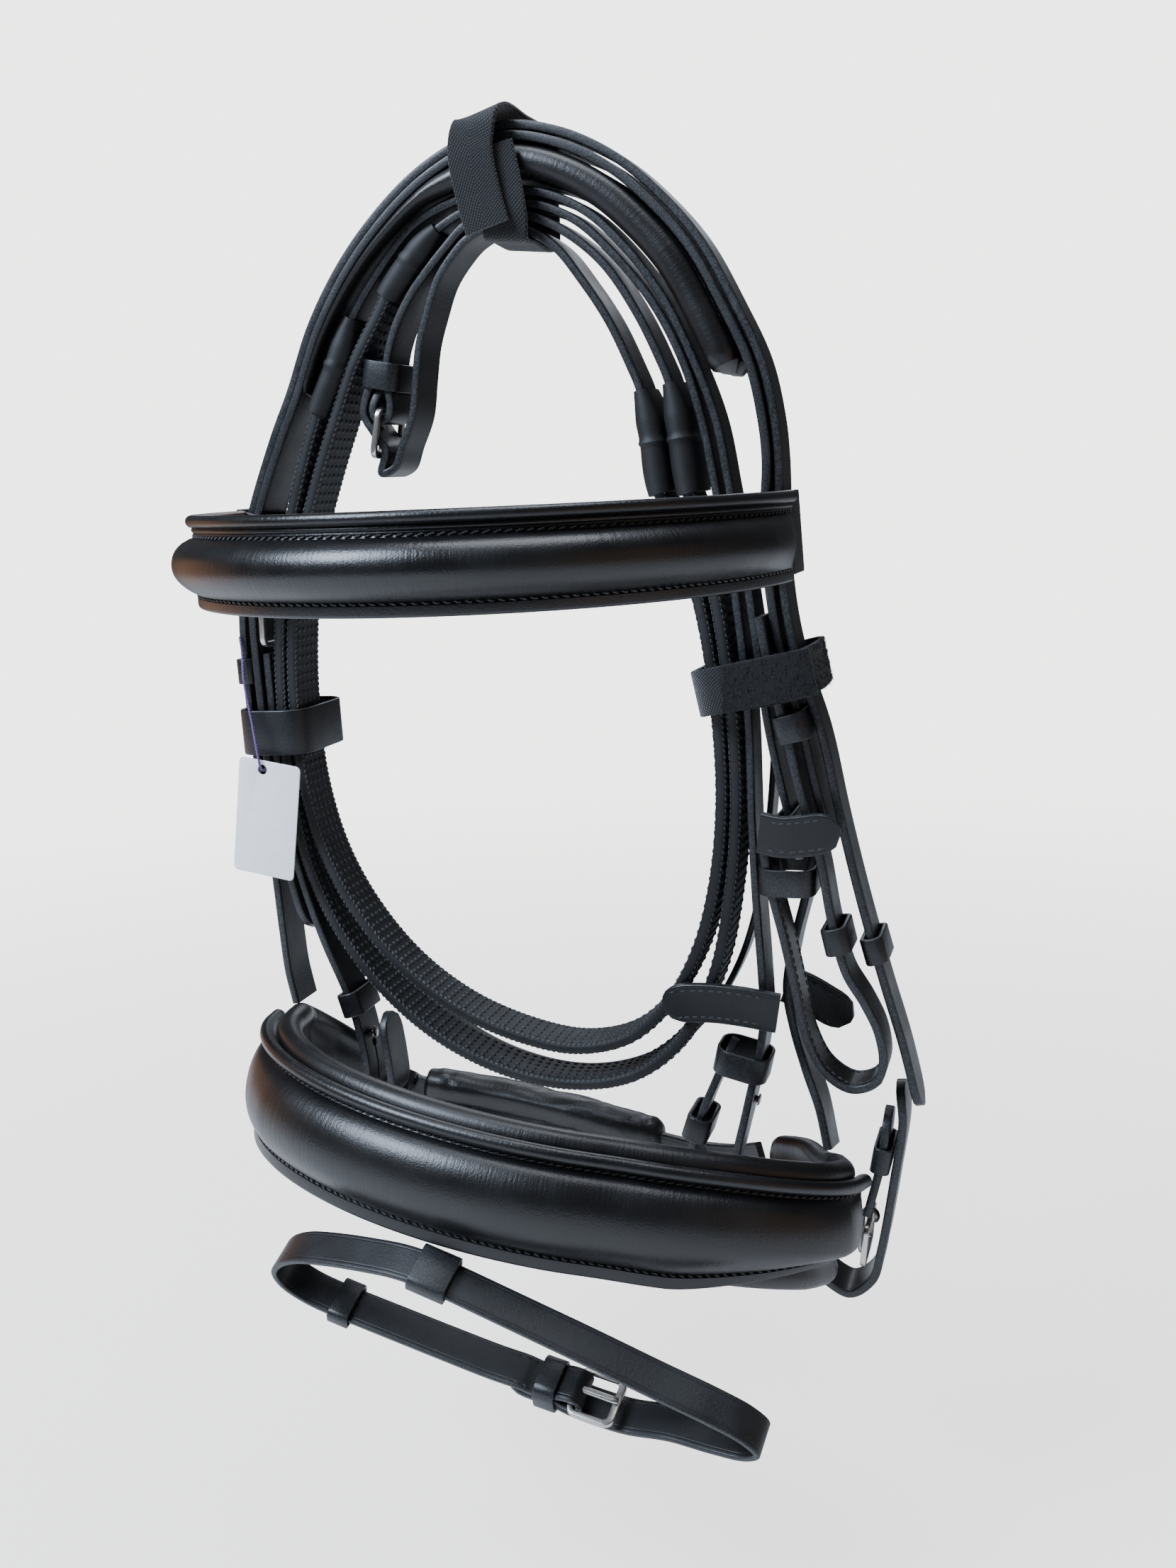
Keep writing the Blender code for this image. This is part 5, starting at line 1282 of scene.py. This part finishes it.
# Padded band: a rolled rim, piping where it has a cord, a full panel between two sunk seams and a flat lower
# rim; with it, how far across its two seams run
def panel_section(half, roll, cord, sink, crown, flange, lower):
    edge = half - roll
    top = [(half * 0.96, 0.0)] + arc(edge, roll * 0.95, roll, -25, 150, 8)
    start = edge - roll * 1.15
    if cord:
        second = edge - roll * 0.9 - cord
        top += arc(second, cord * 1.35, cord, 35, 155, 6)
        start = second - cord * 1.35
    top += [(start, sink), (start - upper_groove, sink * 0.8), (start - upper_groove - groove_far, sink)]
    high = start - 2 * upper_groove
    low = -half + lower
    for u in np.linspace(0.97, -0.97, 17):
        rise = (1 - abs(u) ** 2.3) ** 0.62 if u > 0 else (1 - u * u) ** 0.85
        top.append(((high + low) / 2 + u * (high - low) / 2, sink + crown * rise))
    top += [(low, sink), (low - lower_groove, sink * 0.8), (low - lower_groove - groove_far, flange)]
    top += arc(-half + flange * 0.45, flange * 0.55, flange * 0.45, 90, 180, 4)
    return top + [(-half * 0.96, 0.0), (0.0, 0.0)], start - upper_groove, low - lower_groove * 0.8


def oval(half, depth, first, last, steps):
    turns = [first + (last - first) * i / steps for i in range(steps + 1)]
    return [(-half * cos(t), -depth * sin(t)) for t in turns]


def brow_points(inset_by, first, last):
    level = brow_level_share * tier - seat_height - brow_height / 2
    middle = brow_middle_share * reach
    outline = oval(brow_half - inset_by, brow_depth - inset_by, first, last, 30)
    return [Vector((x, middle + y, level)) for x, y in outline]


# Rows of stitches in both grooves of a padded band
def groove_rows(name, node, line, high, low, slant):
    sewn(name, node, row_places(line, high, panel_sink, slant=slant)
         + row_places(line, low, panel_sink + stitch_thick * 0.1, slant=-slant))


def make_browband():
    start = radians(3.06)
    line = Line(brow_points(0.0, start, pi - start), upward, step=band_step)
    sections = []
    for f in np.minimum(faded(line, brow_fill), (line.run + brow_left_start) / brow_left_fill):
        section, high, low = panel_section(brow_height / 2, brow_rim, brow_cord, panel_sink,
                                           brow_crown * (0.06 + 0.94 * f ** 0.6), brow_flange, brow_lower)
        sections.append(section)
    panel = dressed(laid("brow_panel", line, sections, panel_leather), "browband_face")
    groove_rows("brow_seams", "browband_face", line, high, low, radians(14))
    start = radians(6.5)
    back = Line(brow_points(brow_lining / 2 + play, start, pi - start), upward)
    section = strap_section(brow_height * 0.97, brow_lining, lining_edge)
    dressed(laid("brow_backing", back, section, lining_leather), "browband_lining")


# Noseband
def nose_frame():
    turn = Matrix.Rotation(nose_roll, 4, "Y") @ Matrix.Rotation(nose_yaw, 4, "Z")
    return Matrix.Translation(at(*nose_place_shares)) @ turn @ Matrix.Rotation(nose_pitch, 4, "X")


def nose_line(inset_by):
    line = [Vector((x, y, 0)) for x, y in oval(nose_half, nose_depth, radians(2), radians(112), 11)]
    line += [Vector((x * half_span, y * reach, z * tier)) for x, y, z in nose_right_shares]
    out = []
    for i, spot in enumerate(line):
        run = line[min(i + 1, len(line) - 1)] - line[max(i - 1, 0)]
        out.append(spot + Vector((-run.y, run.x, 0)).normalized() * inset_by)
    return out


def make_noseband():
    place = nose_frame()
    up = (place.to_3x3() @ upward).normalized()
    mid = Vector((0, 0, -nose_height / 2))
    line = Line([place @ (p + mid) for p in nose_line(0.0)], up, step=band_step)
    taper = np.clip((line.spot[:, 0] - nose_taper_start) / nose_taper_run, 0, 1)
    rise = 1 - nose_taper_share * taper ** 1.5
    sections = []
    fill = np.minimum(faded(line, nose_fill), (line.run + nose_left_start) / nose_left_fill)
    for f, r in zip(fill, rise):
        section, high, low = panel_section(nose_height / 2, nose_rim, 0.0, panel_sink,
                                           nose_crown * (0.10 + 0.90 * f ** 0.6), nose_flange, nose_lower)
        sections.append([(a if a > 0 else a * r, o) for a, o in section])
    panel = dressed(laid("nose_panel", line, sections, panel_leather), "noseband_face")
    drop = lambda run: low * float(np.interp(run, line.run, rise))
    groove_rows("nose_seams", "noseband_face", line, high, drop, radians(16))
    mid += Vector((0, 0, nose_lining_rise))
    arms = [[Vector((x * half_span, y * reach, z * tier)) for x, y, z in table]
            for table in (reversed(left_arm_shares), right_arm_shares)]
    route = arms[0] + nose_line(nose_pad_thick / 2 + nose_fit) + arms[1]
    back = Line([place @ (p + mid) for p in route], up, step=cushion_step)
    deep = nose_pad_thick / 2
    base = pad_section(nose_height * 0.53, deep, 0.92, 0.62, 0.86)
    table = np.array([base] * len(back.run))
    share = faded(back, cushion_fill)
    table[:, :, 0] *= (0.55 + 0.45 * share)[:, None]
    table[:, :, 1] *= (0.5 + 0.5 * share)[:, None]
    table = pillow(back, table, cushion_tip, 0.3)
    pad = dressed(laid("nose_cushion", back, table, soft_leather), "noseband_lining")


# Stuffing by simulation: the closed skin is blown up from inside and gathers by itself, and no point
# moves further than the cap
def puffed(ob, grain, pressure, cap):
    applied(ob, "REMESH", mode="VOXEL", voxel_size=grain)
    still = np.array([tuple(v.co) for v in ob.data.vertices])
    pick(ob)
    made = ob.modifiers.new("Stuffing", "CLOTH")
    made.settings.quality = 5
    made.settings.mass = 0.15
    made.settings.use_pressure = True
    made.settings.uniform_pressure_force = pressure
    made.settings.shrink_min = -0.05
    made.settings.effector_weights.gravity = 0.0
    for step in range(1, 21):
        bpy.context.scene.frame_set(step)
    bpy.ops.object.modifier_apply(modifier=made.name)
    bpy.context.scene.frame_set(1)
    drift = np.array([tuple(v.co) for v in ob.data.vertices]) - still
    far = np.linalg.norm(drift, axis=1)[:, None]
    ob.data.vertices.foreach_set("co", (still + drift * np.minimum(1.0, cap / np.maximum(far, 1e-9))).ravel())
    applied(ob, "SUBSURF", levels=1, render_levels=1)
    bpy.ops.object.shade_smooth()
    return ob


# Chin pad: a stuffed tube between two straps, folded where it is drawn in at each end
def make_chin():
    line = Line(places(chin_shares), upward, step=fine_step)
    deep = chin_thick / 2
    base = np.array(pad_section(chin_height / 2, deep, 0.93, 0.86, 1.0))
    table = []
    for run, f in zip(line.run, faded(line, chin_fill)):
        wave = 1.0 + 0.06 * sin(run * 900) * (1 - f) + 0.02 * sin(run * 190)
        table.append(base * (0.92 + 0.08 * f) * wave)
    pad = laid("chin_cushion", line, pillow(line, table, chin_tip, 0.3), stuffed_leather)
    pad = dressed(puffed(pad, chin_grain, 3.0, chin_cap), "chin_pad")
    left = places(left_chin_shares) + [line.place(chin_sewn_in)[0]]
    right = [line.place(line.long() - chin_sewn_in)[0]] + places(right_chin_shares)
    strap("left_chin_strap", "chin_strap_left", Line(left, upward), crank_width, strap_thick)
    strap("right_chin_strap", "chin_strap_right", Line(right, upward), crank_width, strap_thick)


# Flash strap and its fittings
def flash_frame():
    turn = Matrix.Rotation(flash_roll, 4, "Y") @ Matrix.Rotation(-flash_hang, 4, "X")
    return Matrix.Translation(at(*flash_seat_shares)) @ turn


def flash_place(x, y):
    return flash_frame() @ Vector((x * half_span, y * reach, 0))


def make_flash():
    turn = flash_frame().to_3x3() @ Matrix.Rotation(-flash_lean, 3, "Z")
    place = frame_matrix(flash_place(*flash_bar_shares), turn.col[0].copy(), turn.col[2].copy())
    run = flash_buckle_length * 1.35
    chape = from_pairs(place, chape_pairs(thin_thick, run))
    billet = from_pairs(place, flat_billet_pairs(thin_thick, flash_buckle_length, run))
    ring = [flash_place(*p) for p in flash_ring_shares]
    up = flash_frame().to_3x3().col[2].copy()
    line = Line(list(reversed(chape)) + ring + billet, up)
    strap("flash_band", "flash_strap", line, flash_width, thin_thick, strap_back, tips=(1.0, 0.5))
    buckle("flash_buckle", place, flash_buckle_length, flash_width + 2 * play)
    pin("flash_tongue_pin", "flash_buckle_tongue", place, flash_buckle_length)
    stack_keeper("flash_keeper", "flash_buckle_keeper", place, run * 0.48, flash_width, thin_thick, -1,
                 short_keeper)
    snug("flash_slide", "flash_runner", line, flash_place(*flash_runner_shares), flash_width, thin_thick,
         short_keeper, thin_wall, runner_slack)
    snug("flash_carrier", "flash_loop", line, flash_place(*flash_loop_shares), flash_width, thin_thick,
         flash_loop_length, thin_wall, runner_slack)
    first, last = sorted(line.nearest(place @ Vector((-run * share, 0, 0))) for share in chape_seam_shares)
    out = thin_thick / 2 * (1 if line.place(first)[3].dot(place.col[2].xyz) > 0 else -1)
    sewn("flash_chape_seams", "flash_strap",
         rim_rows(line, flash_width / 2 - flash_seam_inset, out, first=first, last=last))


# Hook stud: a stem and a domed head, drawn up from the stem's end
def stud(name, node, line, spot, thick, flip, rides=dressed):
    at_run, head, side, face = line.place(line.nearest(spot))
    nothing_selected()
    bpy.ops.mesh.primitive_cylinder_add(vertices=32, radius=stud_radius * 0.55, depth=stud_height * 0.5)
    ob = added(name, steel)
    ob.data.transform(Matrix.Translation((0, 0, stud_height * 0.25)))
    chosen(ob, "FACE", ob.data.polygons, lambda top: top.normal.z > 0.9)
    for scale, lift in ((1.82, 0.0), (1.0, 0.22), (0.72, 0.2), (0.4, 0.08)):
        bpy.ops.mesh.extrude_region_move(TRANSFORM_OT_translate={"value": (0, 0, stud_height * lift)})
        bpy.ops.transform.resize(value=(scale, scale, 1))
    bpy.ops.object.mode_set(mode="OBJECT")
    applied(ob, "BEVEL", width=stud_edge, segments=2, limit_method="ANGLE", angle_limit=radians(30))
    ob.data.transform(frame_matrix(at_run + face * flip * (thick / 2), head, side * flip))
    return rides(softened(ob, radians(50)), node)


# Keepers, studs and billet tabs
def make_keepers():
    slip, cheek, left, bit = (Line(places(shares), rearward) for shares in (
        slip_right_shares, right_cheek_shares, left_cheek_shares, near_bit_shares))
    for node in collar_sizes:
        collar(node + "_leather", node, strap_back if node.startswith("browband") else leather)
    firm = keeper_slack * 3
    for name, node, line, shares, thick, slack in (
            ("turn_keeper", "keeper_turn_right", cheek, turn_keeper_shares, strap_thick, firm),
            ("slip_keeper", "keeper_sliphead_right", slip, slip_keeper_shares, strap_thick, keeper_slack),
            ("bit_end_keeper", "keeper_bit_end", bit, bit_end_shares, rein_thick, keeper_loose),
            ("left_cheek_keeper", "keeper_cheek_left", left, left_keeper_shares, strap_thick, firm)):
        snug(name, node, line, at(*shares), cheek_width, thick, slack=slack)
    stud("left_hook_stud", "hook_stud_left", left, at(*left_stud_shares), strap_thick, -1)
    stud("right_hook_stud", "hook_stud_right", bit, at(*right_stud_shares), rein_thick, 1)
    stud("left_stud_rivet", "hook_stud_left", left, at(*left_rivet_shares), strap_thick, 1, rides=trim)
    for name, node, shares, tips in (("far_billet_tab", "billet_tab_far", far_tab_shares, (1.0, 0.5)),
                                     ("near_billet_tab", "billet_tab_near", near_tab_shares, (0.5, 1.0)),
                                     ("near_billet_tip", "billet_tip_near", near_tip_shares, (1.0, 0.5))):
        line = Line(places(shares), upward)
        strap(name, node, line, billet_tab_width, strap_thick, tips=tips)
        sewn(name + "_seam", node, rim_rows(line, billet_tab_width / 2 - tab_seam_inset, strap_thick / 2,
                                            first=tab_seam_ends[0], last=line.long() - tab_seam_ends[1]))


# Buckle of the left cheek; strap, billet, keeper and buckle of the crank
def make_side_buckles():
    place = frame_matrix(at(*cheek_bar_shares), Vector(cheek_bar_run), -rearward)
    buckle("cheek_buckle", place, cheek_buckle_length, crown_width + 2 * play)
    line = Line(places(crank_billet_shares), rearward)
    strap("crank_billet_strap", "crank_billet", line, crank_width, strap_thick, tips=(0.5, 1.0))
    snug("crank_slide", "crank_keeper", line, at(*crank_keeper_shares), crank_width, strap_thick,
         wall=thin_wall)
    strap("crank_hook_strap", "crank_strap", Line(places(crank_shares), rearward), crank_width, strap_thick,
          tips=(1.0, 0.5))
    place = frame_matrix(at(*crank_bar_shares), Vector(crank_bar_run), -rearward)
    buckle("crank_buckle", place, crank_buckle_length, crank_width + 2 * play)
    pin("crank_tongue_pin", "crank_buckle_tongue", place, crank_buckle_length)


# Width direction of the top tie, which leans one way below and the other way above
def top_tie_across(spot):
    low = min(1.0, max(0.0, (0.10 - spot.z / tier) / 0.08))
    return Vector((1.0, 0.0, 0.27 * (1 - low) - 0.12 * low))


# Woven ties, with the loops of the pile on the side tie's outer face
def make_ties():
    section = strap_section(tie_width, tie_thick, tie_edge)
    line = Line(places(top_tie_shares), top_tie_across, step=fine_step)
    dressed(laid("top_tie_tape", line, section, woven), "tie_top")
    line = Line(places(side_tie_shares), Vector(side_tie_across), step=fine_step)
    tape = dressed(laid("side_tie_tape", line, section, pile), "tie_right")
    tape.data.materials.append(woven)
    woven_end = woven_end_share * half_span
    for part in tape.data.polygons:
        part.material_index = 1 if part.center.x < woven_end else 0
    chance = random.Random(7)
    made = []
    for _ in range(loop_count):
        spot, head, side, face = line.place(chance.uniform(0.0, line.long()))
        rise = (tie_thick / 2 + chance.uniform(*loop_rise)) * chance.choice((1, 1, 1, -1))
        spot = spot + side * chance.uniform(-0.49, 0.49) * tie_width + face * rise
        turn = Matrix.Rotation(chance.uniform(0, pi), 4, "Z")
        turn = turn @ Matrix.Rotation(chance.uniform(-0.7, 0.7), 4, "Y")
        if spot.x > woven_end:
            made.append(frame_matrix(spot, head, side) @ turn)
    trim(copies("side_tie_loops", fibre, made, pile), "tie_right")


# Tag on its thread
def make_tag():
    upright = Matrix.Rotation(pi / 2, 4, "X") @ Matrix.Rotation(tag_tilt, 4, "Z")
    place = Matrix.Translation(at(*tag_shares)) @ upright
    left, low = (share * tag_height for share in tag_hole_shares)
    ring = [(tag_hole * cos(2 * pi * i / 28), tag_hole * sin(2 * pi * i / 28)) for i in range(28)]
    outline = [(x - left, y - low) for x, y in rounded(tag_width, tag_height, tag_hole, 6)]
    dressed(plate("blank_tag", [outline, ring], tag_thick / 2, tag_thick * 0.3, place, card), "hang_tag")
    points = smooth(places(thread_shares), 12)[::3]
    string = round_wire("tag_string", points, thread_radius)
    string.data.materials.append(tag_cord)
    dressed(string, "tag_thread")


# Camera where the photograph was taken, then floor and lights
def set_camera():
    level = cos(camera_down)
    ahead = Vector((-sin(camera_turn) * level, cos(camera_turn) * level, -sin(camera_down)))
    right = Vector((cos(camera_turn), sin(camera_turn), 0))
    up = right.cross(ahead)
    across = cos(camera_roll) * right + sin(camera_roll) * up
    above = -sin(camera_roll) * right + cos(camera_roll) * up
    data = bpy.data.cameras.new("photo_camera")
    data.sensor_width = sensor_long
    data.lens = focal_pixels / photo_height * sensor_long
    data.clip_start = 0.01
    ob = placed("photo_camera", data)
    ob.matrix_world = Matrix.Translation(camera_place) @ Matrix((across, above, -ahead)).transposed().to_4x4()
    bpy.context.scene.camera = ob


def lamp(name, place, target, size, power, code):
    data = bpy.data.lights.new(name, "AREA")
    data.shape = "DISK"
    data.size = size
    data.energy = power
    data.color = linear(code)[:3]
    ob = placed(name, data)
    ob.location = place
    ob.rotation_euler = (Vector(target) - Vector(place)).to_track_quat("-Z", "Y").to_euler()


def set_stage():
    nothing_selected()
    bpy.ops.mesh.primitive_grid_add(x_subdivisions=8, y_subdivisions=8, size=14.0)
    floor = added("floor", pale_floor())
    floor.data.transform(Matrix.Translation((0, 0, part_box("flash_strap")[0][2] - floor_drop)))
    middle = (0.0, -0.02, -0.18)
    lamp("window_light", (-0.75, -0.90, 1.00), middle, 0.95, 60.0, "#d9e6fa")
    lamp("ceiling_light", (0.15, 0.05, 1.20), middle, 0.9, 15.0, "#e8effa")
    lamp("floor_bounce", (0.10, -0.55, -0.95), middle, 1.2, 0.8, "#ffe6cc")
    lamp("warm_right", (1.05, -0.35, -0.10), middle, 1.1, 0.9, "#ffcfa6")
    lamp("warm_left", (-1.05, 0.15, -0.30), middle, 0.9, 1.3, "#ffb880")
    lamp("back_light", (-0.30, 1.20, 0.50), middle, 0.9, 5.0, "#eef4ff")
    world = bpy.data.worlds.new("studio")
    world.use_nodes = True
    tree = world.node_tree
    seen = add(tree, "ShaderNodeBackground", values={
        "Color": linear(backdrop), "Strength": backdrop_strength})
    cast = add(tree, "ShaderNodeBackground", values={"Color": linear("#ebeef3"), "Strength": 0.09})
    path = add(tree, "ShaderNodeLightPath")
    mixed = add(tree, "ShaderNodeMixShader", links={
        0: path.outputs["Is Camera Ray"], 1: cast.outputs["Background"], 2: seen.outputs["Background"]})
    tree.links.new(mixed.outputs["Shader"], tree.nodes["World Output"].inputs["Surface"])
    bpy.context.scene.world = world


set_camera()
make_tag()
make_crown()
make_throat()
make_cheeks()
make_reins()
make_browband()
make_noseband()
make_chin()
make_flash()
make_keepers()
make_side_buckles()
make_ties()
set_stage()
for spare in (stitch, edge_stitch, pimple, fibre):
    bpy.data.objects.remove(spare, do_unlink=True)
